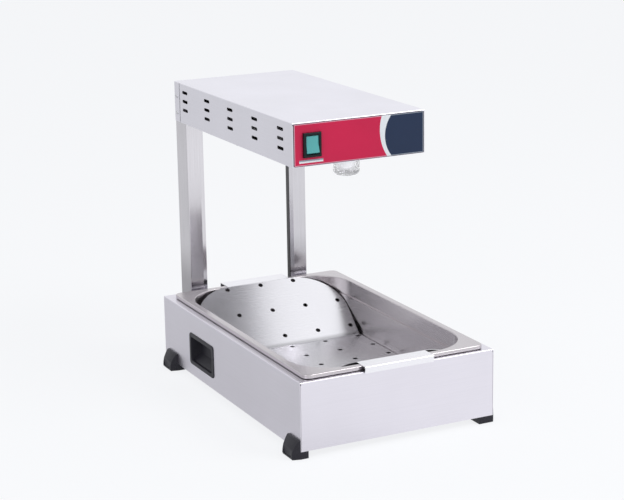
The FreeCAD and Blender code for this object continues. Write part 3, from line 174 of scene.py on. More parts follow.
def make_world():
    """A pale surround for the camera and glass, and a studio that is brighter to the right and above."""
    world = bpy.data.worlds.new("studio")
    bpy.context.scene.world = world
    world.use_nodes = True
    tree = world.node_tree
    tree.nodes.clear()
    path = tree.nodes.new("ShaderNodeLightPath").outputs
    seen = combined(tree, "MAXIMUM", path["Is Camera Ray"], path["Is Transmission Ray"])
    where = tree.nodes.new("ShaderNodeTexCoord").outputs["Generated"]
    pale = coloured(tree, "ShaderNodeBackground", PALE)
    glossy = coloured(tree, "ShaderNodeBackground", PALE)
    studio = toward(tree, where, STUDIO_SIDE, STUDIO_SPAN, STUDIO_DIM, 1.0)
    tree.links.new(studio, glossy.inputs["Strength"])
    even = coloured(tree, "ShaderNodeBackground", EVEN_COLOUR)
    even.inputs["Strength"].default_value = EVEN_LIGHT
    inner = mixed(tree, path["Is Glossy Ray"], even.outputs[0], glossy.outputs[0])
    out = tree.nodes.new("ShaderNodeOutputWorld")
    tree.links.new(mixed(tree, seen, inner, pale.outputs[0]), out.inputs["Surface"])


def make_floor():
    """A pale floor with a soft shadow; the camera and glass see it about as bright as the surround."""
    bpy.ops.mesh.primitive_plane_add(size=FLOOR_SIZE, location=(BASE_MIDDLE.x, BASE_MIDDLE.y, -FLOOR_DROP))
    floor = bpy.context.object
    floor.name = "studio_floor"
    material = bpy.data.materials.new("studio_floor")
    material.use_nodes = True
    tree = material.node_tree
    tree.nodes.clear()
    path = tree.nodes.new("ShaderNodeLightPath").outputs
    seen = combined(tree, "MAXIMUM", path["Is Camera Ray"], path["Is Glossy Ray"])
    through = combined(tree, "MAXIMUM", seen, path["Is Transmission Ray"])
    share = map_range(tree, through, (0.0, 1.0), 0.0, FLOOR_GLOW)
    where = tree.nodes.new("ShaderNodeTexCoord").outputs["Object"]
    near = toward(tree, where, FLOOR_SIDE, FLOOR_NEAR_SPAN, FLOOR_NEAR_DIM, FLOOR_STRENGTH)
    far = toward(tree, where, FLOOR_SIDE, FLOOR_FAR_SPAN, FLOOR_FAR_DIM - FLOOR_NEAR_DIM, 0.0)
    strength = tree.nodes.new("ShaderNodeMix")
    strength.inputs["A"].default_value = FLOOR_STRENGTH
    tree.links.new(path["Is Glossy Ray"], strength.inputs["Factor"])
    tree.links.new(combined(tree, "ADD", near, far), strength.inputs["B"])
    matt = coloured(tree, "ShaderNodeBsdfDiffuse", FLOOR_COLOUR)
    glow = coloured(tree, "ShaderNodeEmission", PALE)
    tree.links.new(strength.outputs["Result"], glow.inputs["Strength"])
    out = tree.nodes.new("ShaderNodeOutputMaterial")
    tree.links.new(mixed(tree, share, matt.outputs[0], glow.outputs[0]), out.inputs["Surface"])
    floor.data.materials.append(material)


# The middle of a noise's range, which the finishes spread over their own ranges.
NOISE_SPAN = (0.3, 0.7)
# The sockets of a colour mix: its factor, its two colours and its result.
MIX_FACTOR = 0
MIX_FIRST = 6
MIX_SECOND = 7
MIX_RESULT = 2


class Finish:
    """A node material built round one Principled shader."""

    def __init__(self, name, colour, metallic=0.0, roughness=0.5, **sockets):
        self.material = bpy.data.materials.new(name)
        self.material.use_nodes = True
        self.tree = self.material.node_tree
        self.shader = self.tree.nodes["Principled BSDF"]
        self.set("Base Color", (*colour, 1.0))
        self.set("Metallic", metallic)
        self.set("Roughness", roughness)
        for socket, value in sockets.items():
            self.set(socket.replace("_", " "), value)
        self.coordinates = self.tree.nodes.new("ShaderNodeTexCoord").outputs["Object"]
        self.colour, self.roughness = colour, roughness

    def set(self, socket, value):
        self.shader.inputs[socket].default_value = value

    def node(self, kind, **values):
        made = self.tree.nodes.new(kind)
        for key, value in values.items():
            setattr(made, key, value)
        return made

    def link(self, source, target):
        self.tree.links.new(source, target)

    def noise(self, scales, detail, roughness=0.55):
        """Noise over the piece's own metres, stretched by one scale for each axis."""
        mapping = self.node("ShaderNodeMapping")
        mapping.inputs["Scale"].default_value = scales
        self.link(self.coordinates, mapping.inputs["Vector"])
        texture = self.node("ShaderNodeTexNoise")
        texture.inputs["Scale"].default_value = 1.0
        texture.inputs["Detail"].default_value = detail
        texture.inputs["Roughness"].default_value = roughness
        self.link(mapping.outputs["Vector"], texture.inputs["Vector"])
        return texture.outputs["Fac"]

    def vary_colour(self, value, darker, lighter):
        """Shades the base colour between two factors."""
        ramp = self.node("ShaderNodeValToRGB")
        for element, position, factor in zip(ramp.color_ramp.elements, NOISE_SPAN, (darker, lighter)):
            element.position = position
            element.color = (*(min(1.0, part * factor) for part in self.colour), 1.0)
        self.link(value, ramp.inputs["Fac"])
        self.link(ramp.outputs["Color"], self.shader.inputs["Base Color"])

    def vary_roughness(self, value, change):
        """Lets the roughness wander by a change to both sides."""
        wander = map_range(self.tree, value, NOISE_SPAN, self.roughness - change, self.roughness + change)
        self.link(wander, self.shader.inputs["Roughness"])

    def shade_band(self, axis, start, end, before, after):
        """Paints shade into the base colour: a factor that changes along one axis, between two places in
        metres.
        """
        part = self.node("ShaderNodeSeparateXYZ")
        self.link(self.coordinates, part.inputs["Vector"])
        factor = map_range(self.tree, part.outputs[axis], (start, end), before, after, smooth=True)
        mix = self.node("ShaderNodeMix", data_type="RGBA", blend_type="MULTIPLY")
        mix.inputs[MIX_FACTOR].default_value = 1.0
        self.link(self.shader.inputs["Base Color"].links[0].from_socket, mix.inputs[MIX_FIRST])
        self.link(factor, mix.inputs[MIX_SECOND])
        self.link(mix.outputs[MIX_RESULT], self.shader.inputs["Base Color"])

    def bump(self, value, distance, strength):
        made = self.node("ShaderNodeBump")
        made.inputs["Distance"].default_value = distance
        made.inputs["Strength"].default_value = strength
        self.link(value, made.inputs["Height"])
        self.link(made.outputs["Normal"], self.shader.inputs["Normal"])


# Brushed steel: its grain in cycles for each metre along X, Y and Z, its clouds, gloss and relief.
GRAIN_ACROSS = (9.0, 1300.0, 1300.0)
GRAIN_ALONG = (900.0, 9.0, 500.0)
GRAIN_UP = (700.0, 260.0, 7.0)
GRAIN_LEVEL = (7.0, 7.0, 900.0)
GRAIN_FINE = (300.0, 300.0, 300.0)
GRAIN_COARSE = (200.0, 200.0, 200.0)
STEEL_CLOUDS = (7.0, 7.0, 7.0)
CLOUD_SHARE = 0.45
STEEL_GLOSS = 0.025
STEEL_RELIEF = 0.35

# Plastic, print and the like: the leathery grain, the blotches of shade and gloss, and the relief.
LEATHER = (900.0, 900.0, 900.0)
BLOTCHES = (12.0, 12.0, 12.0)
BLOTCH_SHADES = (0.95, 1.05)
MOULDED_GLOSS = 0.06
MOULDED_RELIEF = 0.4

# Glass: its waves, their depth and their relief.
WAVES = (60.0, 60.0, 30.0)
WAVE_DEPTH = 0.1 * MM
WAVE_RELIEF = 0.5


def steel(name, colour, roughness, grain, wander=0.04, depth=0.02 * MM, shade_bands=()):
    """Brushed steel: fine streaks, slow clouds across the sheet, a faint relief and bands of painted shade.
    """
    finish = Finish(name, colour, metallic=1.0, roughness=roughness)
    streaks = finish.noise(grain, detail=4.0, roughness=0.7)
    clouds = finish.noise(STEEL_CLOUDS, detail=2.0)
    both = finish.node("ShaderNodeMix")
    both.inputs["Factor"].default_value = CLOUD_SHARE
    finish.link(streaks, both.inputs["A"])
    finish.link(clouds, both.inputs["B"])
    finish.vary_colour(both.outputs["Result"], 1.0 - wander, 1.0 + wander)
    finish.vary_roughness(both.outputs["Result"], STEEL_GLOSS)
    finish.bump(streaks, depth, STEEL_RELIEF)
    for shade_band in shade_bands:
        finish.shade_band(*shade_band)
    return finish.material


def moulded(name, colour, roughness, depth=0.12 * MM, **sockets):
    """Plastic, ceramic, print or frosted glass: a fine leathery grain and slightly uneven gloss."""
    finish = Finish(name, colour, roughness=roughness, **sockets)
    grain = finish.noise(LEATHER, detail=2.0)
    blotches = finish.noise(BLOTCHES, detail=1.0)
    finish.vary_colour(blotches, *BLOTCH_SHADES)
    finish.vary_roughness(blotches, MOULDED_GLOSS)
    finish.bump(grain, depth, MOULDED_RELIEF)
    return finish.material


def clear(name, colour, roughness, ior, **sockets):
    """Glass, with faint waviness."""
    finish = Finish(name, colour, roughness=roughness, Transmission_Weight=1.0, IOR=ior, **sockets)
    finish.bump(finish.noise(WAVES, detail=1.0), WAVE_DEPTH, WAVE_RELIEF)
    return finish.material


# Bands of painted shade: axis, start, end, and the factors before and after. The posts get painted shade
# inside the head and a painted dark reflection near the base, the right post's inner edge a painted shadow
# line, and the insert's floor painted shade that makes it darker than its slope.
BASE_TOP = BASE_HIGH.z
HEAD_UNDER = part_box("head_casing")[0].z
POST_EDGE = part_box("post_right")[0].x
INSERT_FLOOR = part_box("perforated_insert")[0].z
HEAD_SHADE = ("Z", HEAD_UNDER + 1.5 * MM, HEAD_UNDER + 2.5 * MM, 1.0, 0.04)
# A painted dark reflection on the posts towards the base.
LOW_DARK_REFLECTION = ("Z", BASE_TOP, BASE_TOP + 85 * MM, 0.62, 1.0)
# A painted shadow line along the right post's inner edge.
EDGE_SHADOW = ("X", POST_EDGE + 1.4 * MM, POST_EDGE + 1.6 * MM, 0.12, 1.0)
# Painted shade that makes the insert's floor darker than its slope.
INSERT_FLOOR_SHADE = ("Z", INSERT_FLOOR + 2.0 * MM, INSERT_FLOOR + 7.0 * MM, 0.64, 1.0)

# Each has a colour and a roughness, then steel a grain, plastic and print a relief's depth, glass its IOR.
BULB_GLOW = (0.95, 0.95, 1.0, 1.0)
MATERIALS = {
    "case_steel": steel("case_steel", (0.81, 0.785, 0.85), 0.34, GRAIN_LEVEL),
    "head_steel": steel("head_steel", (0.865, 0.85, 0.91), 0.36, GRAIN_LEVEL),
    # The posts' steel carries painted shade inside the head and a painted dark reflection near the base.
    "post_steel": steel("post_steel", (0.72, 0.70, 0.73), 0.16, GRAIN_UP, wander=0.09,
                        shade_bands=(HEAD_SHADE, LOW_DARK_REFLECTION)),
    # The right post's steel is a darker copy of the post steel, painted shade, with a painted shadow line on
    # its edge.
    "shaded_post_steel": steel("shaded_post_steel", (0.65, 0.635, 0.665), 0.16, GRAIN_UP, wander=0.09,
                         shade_bands=(HEAD_SHADE, LOW_DARK_REFLECTION, EDGE_SHADOW)),
    "pan_steel": steel("pan_steel", (0.60, 0.565, 0.585), 0.24, GRAIN_ALONG, wander=0.06),
    # The insert's steel is darker on its floor by painted shade.
    "insert_steel": steel("insert_steel", (0.92, 0.91, 0.945), 0.26, GRAIN_ACROSS, wander=0.02,
                          depth=0.001 * MM, shade_bands=(INSERT_FLOOR_SHADE,)),
    "inner_steel": steel("inner_steel", (0.40, 0.395, 0.405), 0.42, GRAIN_ALONG),
    "plated_steel": steel("plated_steel", (0.72, 0.72, 0.74), 0.22, GRAIN_FINE),
    "rolled_aluminium": steel("rolled_aluminium", (0.66, 0.66, 0.67), 0.2, GRAIN_ALONG),
    "tinned_brass": steel("tinned_brass", (0.80, 0.66, 0.36), 0.3, GRAIN_COARSE),
    "nickel_cap": steel("nickel_cap", (0.80, 0.79, 0.77), 0.3, GRAIN_COARSE),
    "dull_wire": steel("dull_wire", (0.42, 0.38, 0.36), 0.45, GRAIN_FINE),
    "slate_plastic": moulded("slate_plastic", (0.023, 0.022, 0.030), 0.42, Specular_IOR_Level=0.28),
    "black_plastic": moulded("black_plastic", (0.004, 0.010, 0.012), 0.3, 0.04 * MM,
                             Specular_IOR_Level=0.25),
    "seal_rubber": moulded("seal_rubber", (0.03, 0.03, 0.032), 0.75, 0.1 * MM),
    "green_rocker": moulded("green_rocker", (0.075, 0.42, 0.42), 0.16, 0.02 * MM, Coat_Weight=0.5),
    "red_print": moulded("red_print", (0.62, 0.010, 0.070), 0.34, 0.01 * MM, Specular_IOR_Level=0.3),
    "navy_print": moulded("navy_print", (0.011, 0.026, 0.070), 0.34, 0.01 * MM, Specular_IOR_Level=0.3),
    "white_print": moulded("white_print", (0.82, 0.85, 0.88), 0.32, 0.03 * MM),
    "grey_print": moulded("grey_print", (0.27, 0.31, 0.37), 0.3, 0.03 * MM),
    "pink_print": moulded("pink_print", (0.72, 0.32, 0.42), 0.3, 0.03 * MM),
    # The film under the print is dark: a painted shadow line round the print's edge.
    "edge_shadow_film": moulded("edge_shadow_film", (0.045, 0.018, 0.028), 0.35, 0.03 * MM, Specular_IOR_Level=0.3),
    "ceramic": moulded("ceramic", (0.82, 0.81, 0.78), 0.25, 0.04 * MM),
    "sleeve": moulded("sleeve", (0.55, 0.50, 0.46), 0.6, 0.06 * MM),
    "bulb_glass": moulded("bulb_glass", (0.90, 0.90, 0.91), 0.25, 0.02 * MM, Emission_Color=BULB_GLOW,
                          Emission_Strength=0.32),
    "jar_glass": clear("jar_glass", (0.99, 0.99, 1.0), 0.02, 1.3, Alpha=0.6),
    "quartz": clear("quartz", (0.96, 0.95, 0.93), 0.3, 1.3),
}

FEET = ("foot_front_left", "foot_front_right", "foot_rear_left", "foot_rear_right")
GRIPS = ("grip_left", "grip_right")
# The nodes that each material dresses.
DRESS = {
    "case_steel": ("base_shell", "rear_mount_rail"),
    "head_steel": ("head_casing", "head_rear_cover"),
    "post_steel": ("post_left",),
    "shaded_post_steel": ("post_right",),
    "pan_steel": ("gn_pan",),
    "insert_steel": ("perforated_insert",),
    "inner_steel": ("base_bottom_plate", "head_underside_plate"),
    "plated_steel": ("foot_screws", "bottom_plate_screws", "post_bolts", "post_nuts", "head_side_screws",
                     "underside_screws", "lamp_screws", "lamp_holder_ring", "wire_guard"),
    "rolled_aluminium": ("heater_reflector",),
    "tinned_brass": ("switch_terminals",),
    "slate_plastic": (*FEET, *GRIPS),
    "black_plastic": ("switch_bezel", "cable_gland", "gland_nut"),
    "green_rocker": ("switch_rocker",),
    "edge_shadow_film": ("front_overlay",),
    "ceramic": ("lamp_socket", "tube_end_caps", "terminal_block"),
    "sleeve": ("wiring",),
    "bulb_glass": ("lamp_bulb",),
    "jar_glass": ("lamp_glass",),
    "quartz": ("quartz_tubes",),
}


def dress_nodes():
    """Gives each carried-over node its material."""
    for material, names in DRESS.items():
        for name in names:
            node = NODES[name]
            node.data.materials.clear()
            node.data.materials.append(MATERIALS[material])


def piece_from(name, mesh, material, body):
    """Links a mesh as a piece of the object."""
    piece = bpy.data.objects.new(name, mesh)
    bpy.context.scene.collection.objects.link(piece)
    mesh.materials.append(MATERIALS[material])
    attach(piece, body)
    return piece


# The body of each node, from the record.
BODY_OF = {name: body for body, names in frame["record"]["behaviour"]["bodies"].items() for name in names}
# Edges that turn by more stay sharp in the shading.
SMOOTH_ANGLE = math.radians(38)


def dressed(name, mesh, material, node, angle=SMOOTH_ANGLE):
    """A piece that stands for a CAD node, or adds to it, with smooth shading within its sharp edges."""
    mesh.shade_smooth()
    mesh.set_sharp_from_angle(angle=angle)
    return piece_from(name, mesh, material, BODY_OF[node])


def mesh_of(made, name):
    """Turns a bmesh into a named mesh, its faces outward."""
    bmesh.ops.recalc_face_normals(made, faces=list(made.faces))
    mesh = bpy.data.meshes.new(name)
    made.to_mesh(mesh)
    made.free()
    return mesh


def modified(mesh, kind, **values):
    """The mesh after one modifier."""
    helper = bpy.data.objects.new("helper", mesh)
    bpy.context.scene.collection.objects.link(helper)
    modifier = helper.modifiers.new(kind.title(), kind)
    for key, value in values.items():
        setattr(modifier, key, value)
    graph = bpy.context.evaluated_depsgraph_get()
    result = bpy.data.meshes.new_from_object(helper.evaluated_get(graph))
    bpy.data.objects.remove(helper)
    return result


# Corners closer than the weld are one, and faces that meet flatter than the flat angle are one face.
WELD = 0.002 * MM
FLAT_ANGLE = math.radians(0.5)
# Decimals of a metre in the places that put solids in order.
PLACE_DIGITS = 5
# The rounds of moulded edges, and the turn from which an edge gets one.
BEVEL_ANGLE = math.radians(32)
FOOT_ROUND = 0.9 * MM
GRIP_ROUND = 0.45 * MM
ROCKER_ROUND = 0.7 * MM


def welded(node):
    """A CAD node's mesh as a bmesh, its corners joined."""
    made = bmesh.new()
    made.from_mesh(NODES[node].data)
    bmesh.ops.remove_doubles(made, verts=made.verts, dist=WELD)
    return made


def bevelled(node, material, width, segments=3):
    """Stands for a moulded CAD node with its edges rounded over."""
    made = welded(node)
    bmesh.ops.dissolve_limit(made, angle_limit=FLAT_ANGLE, verts=made.verts, edges=made.edges)
    mesh = modified(mesh_of(made, f"{node}_moulded"), "BEVEL", width=width, segments=segments,
                    limit_method="ANGLE", angle_limit=BEVEL_ANGLE, harden_normals=False,
                    use_clamp_overlap=True)
    piece = dressed(f"{node}_moulded", mesh, material, node)
    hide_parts(node)


def islands(node):
    """The low and high corners of each separate solid of a node."""
    made = welded(node)
    left = set(made.verts)
    found = []
    while left:
        queue = [left.pop()]
        places = []
        while queue:
            corner = queue.pop()
            places.append(corner.co.copy())
            for edge in corner.link_edges:
                other = edge.other_vert(corner)
                if other in left:
                    left.remove(other)
                    queue.append(other)
        low = Vector([min(place[axis] for place in places) for axis in range(3)])
        high = Vector([max(place[axis] for place in places) for axis in range(3)])
        found.append((low, high))
    made.free()
    return sorted(found, key=lambda pair: tuple(round(value, PLACE_DIGITS) for value in pair[0]))


def join_rings(made, lower, upper):
    """Adds the faces between two rings of corners."""
    for step in range(len(lower)):
        follower = (step + 1) % len(lower)
        made.faces.new((lower[step], lower[follower], upper[follower], upper[step]))


def turned(name, profile, place, axis, steps=48, closed=False, ribs=((), 0, 0.0)):
    """The mesh of a solid of revolution: radius and height pairs about an axis through a place.

    Ribs are the indices of the pairs that have them, their count and their depth.
    """
    made = bmesh.new()
    base = axis.to_track_quat("Z", "Y").to_matrix()
    ribbed, count, depth = ribs
    rings = []
    for index, (radius, height) in enumerate(profile):
        ring = []
        for step in range(steps):
            angle = math.tau * step / steps
            reach = radius
            if index in ribbed:
                reach -= depth * (0.5 - 0.5 * math.cos(angle * count))
            spot = Vector((reach * math.cos(angle), reach * math.sin(angle), height))
            ring.append(made.verts.new(place + base @ spot))
        rings.append(ring)
    for lower, upper in zip(rings, rings[1:]):
        join_rings(made, lower, upper)
    if closed:
        join_rings(made, rings[-1], rings[0])
    else:
        made.faces.new(rings[0])
        made.faces.new(rings[-1])
    return mesh_of(made, name)


def arc(centre, height, radius, start, end, steps=6):
    """Radius and height pairs along an arc, between two angles in degrees."""
    pairs = []
    for step in range(steps + 1):
        angle = math.radians(start + (end - start) * step / steps)
        pairs.append((centre + radius * math.cos(angle), height + radius * math.sin(angle)))
    return pairs


# Heights of the heads in the CAD nodes.
SCREW_HEAD = 2.0 * MM
BOLT_HEAD = 2.8 * MM
# A screw's shank and the arms of its cross, as shares of the head's radius.
SHANK_WIDE = 0.46
ARM_LONG = 0.56
ARM_HALF = 0.13
ARM_TAPER = 0.8
# Where its dome begins and where its cross and the cross's tool end, as shares of the head's height.
DOME_START = 0.35
CROSS_FLOOR = 0.42
TOOL_TOP = 1.5
# The dome's steps in degrees, how the cross's tool widens upward, and how the screws are turned.
DOME_STEPS = (0, 15, 30, 45, 60, 75, 86)
CROSS_GROWTH = (0.62, 1.15)
SPIN_FIRST = math.radians(11.0)
SPIN_STEP = math.radians(37.0)


def cross_cutter(radius, tall):
    """The tapered tool that cuts a cross recess."""
    half, arm = radius * ARM_HALF, radius * ARM_LONG
    end = half * ARM_TAPER
    quarter = [(half, half), (arm, end), (arm, -end)]
    outline = []
    for _ in range(4):
        outline += quarter
        quarter = [(y, -x) for x, y in quarter]
    made = bmesh.new()
    rows = []
    for height, growth in zip((tall * CROSS_FLOOR, tall * TOOL_TOP), CROSS_GROWTH):
        rows.append([made.verts.new((x * growth, y * growth, height)) for x, y in outline])
    join_rings(made, *rows)
    made.faces.new(rows[0])
    made.faces.new(rows[1])
    return mesh_of(made, "recess")


def recessed_head(radius, tall):
    """A domed screw head seated at the origin and facing up Z, with a cross recess and a shank below."""
    shank = radius * SHANK_WIDE
    profile = [(shank, -radius), (shank, 0.0), (radius, 0.0)]
    for step in DOME_STEPS:
        rise = DOME_START + (1 - DOME_START) * math.sin(math.radians(step))
        profile.append((radius * math.cos(math.radians(step)), tall * rise))
    head = turned("head", profile, Vector(), Z_AXIS)
    tool = bpy.data.objects.new("recess", cross_cutter(radius, tall))
    bpy.context.scene.collection.objects.link(tool)
    mesh = modified(head, "BOOLEAN", object=tool, operation="DIFFERENCE", solver="EXACT")
    bpy.data.objects.remove(tool)
    return mesh


def make_screws(node, tall, out=None):
    """Stands for a node's screws with recessed heads, which face out, or else away from the middle in X."""
    made = bmesh.new()
    for index, (low, high) in enumerate(islands(node)):
        middle = (low + high) / 2
        way = Vector(out or (math.copysign(1.0, middle.x - BASE_MIDDLE.x), 0, 0))
        axis = max(range(3), key=lambda item: abs(way[item]))
        seat = middle.copy()
        seat[axis] = (high[axis] - tall) if way[axis] > 0 else (low[axis] + tall)
        # Two of a screw's three measures are the width of its head, so the middle one is too.
        head = recessed_head(sorted(high - low)[1] / 2, tall)
        spin = Matrix.Rotation(SPIN_STEP * index + SPIN_FIRST, 4, "Z")
        head.transform(Matrix.Translation(seat) @ way.to_track_quat("Z", "Y").to_matrix().to_4x4() @ spin)
        made.from_mesh(head)
        bpy.data.meshes.remove(head)
    mesh = bpy.data.meshes.new(f"{node}_cross")
    made.to_mesh(mesh)
    made.free()
    piece = dressed(f"{node}_cross", mesh, "plated_steel", node)
    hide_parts(node)


# The jar: its wall and floor, how far the neck stands in, and the radii of its rounds.
JAR_WALL = 2.0 * MM
JAR_FLOOR = 5.5 * MM
JAR_NECK_IN = 3.5 * MM
JAR_CORNER = 7.5 * MM
JAR_SHOULDER = 3.4 * MM
JAR_INNER_CORNER = 5.0 * MM
# The hollow under the floor and the dip in it: radius and height over the jar's bottom.
JAR_HOLLOW = ((0.6 * MM, 0.9 * MM), (9.0 * MM, 0.75 * MM), (13.5 * MM, 0.1 * MM))
JAR_DIP = ((8.0 * MM, 4.9 * MM), (0.6 * MM, 4.4 * MM))
# The slope inside the shoulder: how far in from the wall, and height over the shoulder.
JAR_SLOPE = ((1.0 * MM, -3.2 * MM), (0.0, -5.5 * MM))
# Where the neck begins inside, over the shoulder, and the turn from which the jar's edges are sharp.
JAR_NECK_FOOT = 0.5 * MM
JAR_SMOOTH = math.radians(60)


def make_jar():
    """The lamp's jar: a thick flat bottom with round corners, a round shoulder and a straight neck."""
    low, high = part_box("lamp_glass")
    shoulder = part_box("lamp_holder_ring")[0].z
    wide = (high.x - low.x) / 2
    inside, neck = wide - JAR_WALL, wide - JAR_NECK_IN
    lip = JAR_WALL / 2
    outer = [(radius, low.z + height) for radius, height in JAR_HOLLOW]
    outer += arc(wide - JAR_CORNER, low.z + JAR_CORNER, JAR_CORNER, -90, 0, steps=8)
    outer += arc(wide - JAR_SHOULDER, shoulder - JAR_SHOULDER, JAR_SHOULDER, 0, 80)
    outer += [(neck, shoulder)]
    bead = arc(neck - lip, high.z - lip, lip, 0, 180)
    inner = [(neck - JAR_WALL, shoulder + JAR_NECK_FOOT)]
    inner += [(inside - step, shoulder + height) for step, height in JAR_SLOPE]
    inner += arc(inside - JAR_INNER_CORNER, low.z + JAR_FLOOR + JAR_INNER_CORNER, JAR_INNER_CORNER, 0, -90)
    inner += [(radius, low.z + height) for radius, height in JAR_DIP]
    mesh = turned("lamp_jar", outer + bead + inner, middle_of(low, high), Z_AXIS, steps=72)
    piece = dressed("lamp_jar", mesh, "jar_glass", "lamp_glass", JAR_SMOOTH)
    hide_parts("lamp_glass")


# The bulb's frosted glass: its wall, the radii of its rounds, and of the small flats at its pole.
BULB_WALL = 0.7 * MM
BULB_TIP = 9.0 * MM
BULB_SHOULDER = 8.0 * MM
BULB_POLE = 0.4 * MM
BULB_INNER_POLE = 0.3 * MM
# Its screw cap: radius and height, the glass's radius and depth in it, and the thread's measures.
CAP_RADIUS = 7.0 * MM
CAP_TALL = 22.0 * MM
CAP_THROAT = 6.02 * MM
CAP_GRIP = 1.0 * MM
THREAD_DEPTH = 0.55 * MM
THREAD_PITCH = 1.4 * MM
THREAD_START = 1.5 * MM
THREAD_ROWS = 11
# The cap's ends: share of its radius, and height over its rim or under its contact.
CAP_RIM = ((0.7, 0.0), (0.95, 0.4 * MM))
CAP_END = ((0.8, 3.5 * MM), (0.45, 1.6 * MM), (0.4, 0.0))
# The filament: X and Z from the bulb's heart, and where its two legs end in the cap.
FILAMENT = ((-5.0 * MM, -1.0 * MM), (-2.5 * MM, 0.8 * MM), (0.0, -0.6 * MM), (2.5 * MM, 0.8 * MM),
            (5.0 * MM, -1.0 * MM))
FILAMENT_WIRE = 0.25 * MM
LEG_END = (2.0 * MM, 0.5 * MM)


def envelope_profile(wide, bottom, cap_low):
    """Radius and height pairs of the bulb's glass, up its outside and down its inside."""
    tip = arc(wide - BULB_TIP, bottom + BULB_TIP, BULB_TIP, -90, 0, steps=8)
    outside = [(BULB_POLE, bottom), *tip]
    outside += arc(wide - BULB_SHOULDER, cap_low - BULB_SHOULDER - CAP_GRIP, BULB_SHOULDER, 0, 75)
    outside += [(CAP_THROAT, cap_low + CAP_GRIP)]
    inside = []
    for index, (radius, height) in enumerate(outside):
        # The lower half of the tip is as thick upward as the rest is sideways.
        lift = BULB_WALL if index <= len(tip) / 2 else 0.0
        inside.append((max(radius - BULB_WALL, BULB_INNER_POLE), height + lift))
    return outside + inside[::-1]


def cap_profile(cap_low, top):
    """Radius and height pairs of the bulb's screw cap, from its rim up to its contact."""
    pairs = [(CAP_RADIUS * share, cap_low + height) for share, height in CAP_RIM]
    for row in range(THREAD_ROWS):
        groove = THREAD_DEPTH if row % 2 else 0.0
        pairs.append((CAP_RADIUS - groove, cap_low + THREAD_START + row * THREAD_PITCH))
    return pairs + [(CAP_RADIUS * share, top - depth) for share, depth in CAP_END]


def make_bulb():
    """The bulb inside the jar: a frosted envelope, a screw cap, and a filament on its two legs."""
    low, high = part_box("lamp_bulb")
    middle = middle_of(low, high)
    wide, cap_low = (high.x - low.x) / 2, high.z - CAP_TALL
    glass = turned("lamp_bulb_envelope", envelope_profile(wide, low.z, cap_low), middle, Z_AXIS)
    envelope = dressed("lamp_bulb_envelope", glass, "bulb_glass", "lamp_bulb")
    thread = turned("lamp_bulb_cap", cap_profile(cap_low, high.z), middle, Z_AXIS, steps=40)
    screw_cap = dressed("lamp_bulb_cap", thread, "nickel_cap", "lamp_bulb")
    for piece in (envelope, screw_cap):
        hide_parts("lamp_bulb")
    heart = Vector((middle.x, middle.y, (low.z + cap_low) / 2))
    loop = [heart + Vector((x, 0, z)) for x, z in FILAMENT]
    runs = [loop]
    for side, start in ((-1, loop[0]), (1, loop[-1])):
        runs.append([start, middle + Vector((side * LEG_END[0], 0, cap_low + LEG_END[1]))])
    dressed("lamp_filament", wires("lamp_filament", runs, FILAMENT_WIRE), "plated_steel", "lamp_bulb")


def wires(name, runs, radius, fineness=3):
    """Round wires along runs of points, as one mesh."""
    curve = bpy.data.curves.new(name, "CURVE")
    curve.dimensions = "3D"
    curve.bevel_depth = radius
    curve.bevel_resolution = fineness
    curve.use_fill_caps = True
    for run in runs:
        spline = curve.splines.new("POLY")
        spline.points.add(len(run) - 1)
        for point, spot in zip(spline.points, run):
            point.co = (*spot, 1.0)
    helper = bpy.data.objects.new(name, curve)
    bpy.context.scene.collection.objects.link(helper)
    graph = bpy.context.evaluated_depsgraph_get()
    mesh = bpy.data.meshes.new_from_object(helper.evaluated_get(graph))
    bpy.data.objects.remove(helper)
    mesh.name = name
    return mesh


# The heating coils: radius, pitch, wire, and points on each turn.
COIL_RADIUS = 3.4 * MM
COIL_PITCH = 3.6 * MM
COIL_WIRE = 0.45 * MM
COIL_STEPS = 12
# How far the turns and the wire's ends stay in from the tube's ends, and the step into the turns.
COIL_MARGIN = 12.0 * MM
COIL_END = 3.0 * MM
COIL_LEAD = 2.0 * MM


def make_coils():
    """The wound heating wire inside each quartz tube."""
    runs = []
    for low, high in islands("quartz_tubes"):
        x, z = (low.x + high.x) / 2, (low.z + high.z) / 2
        start, end = low.y + COIL_MARGIN, high.y - COIL_MARGIN
        run = [Vector((x, low.y + COIL_END, z)), Vector((x, start - COIL_LEAD, z))]
        for step in range(int((end - start) / COIL_PITCH * COIL_STEPS)):
            angle = math.tau * step / COIL_STEPS
            y = start + COIL_PITCH * step / COIL_STEPS
            run.append(Vector((x + COIL_RADIUS * math.cos(angle), y, z + COIL_RADIUS * math.sin(angle))))
        run += [Vector((x, end + COIL_LEAD, z)), Vector((x, high.y - COIL_END, z))]
        runs.append(run)
    dressed("heater_coils", wires("heater_coils", runs, COIL_WIRE, fineness=2), "dull_wire", "quartz_tubes")


# The cable gland: radii of its bore, stem, hexagon and dome.
GLAND_BORE = 4.0 * MM
GLAND_STEM = 8.0 * MM
GLAND_HEXAGON = 12.5 * MM
GLAND_DOME = 10.5 * MM
# The hexagon's height, the chamfers' height and share of the radius, and the round on its edges.
HEXAGON_TALL = 6.0 * MM
HEXAGON_EDGE = 0.9 * MM
HEXAGON_CHAMFER = 0.9
HEXAGON_ROUND = 0.35 * MM
# The dome's outer profile: share of its radius, and height over the cover. The middle three pairs have ribs.
DOME_PROFILE = ((0.93, 6.0 * MM), (1.0, 6.8 * MM), (1.0, 10.2 * MM), (0.93, 11.8 * MM), (0.78, 13.2 * MM))
DOME_MOUTH = 0.62
DOME_RIBS = ((1, 2, 3), 24, 0.55 * MM)
# How much wider than the bore the stem's inside, the seal's outside and the seal's lip are.
STEM_PLAY = 0.6 * MM
SEAL_THICK = 1.2 * MM
SEAL_LIP = 0.3 * MM
# The seal's start over the cover, and how far its outside, lip and bore stay in from the gland's mouth.
SEAL_START = 7.0 * MM
SEAL_IN = (0.5 * MM, 0.3 * MM, 1.0 * MM)


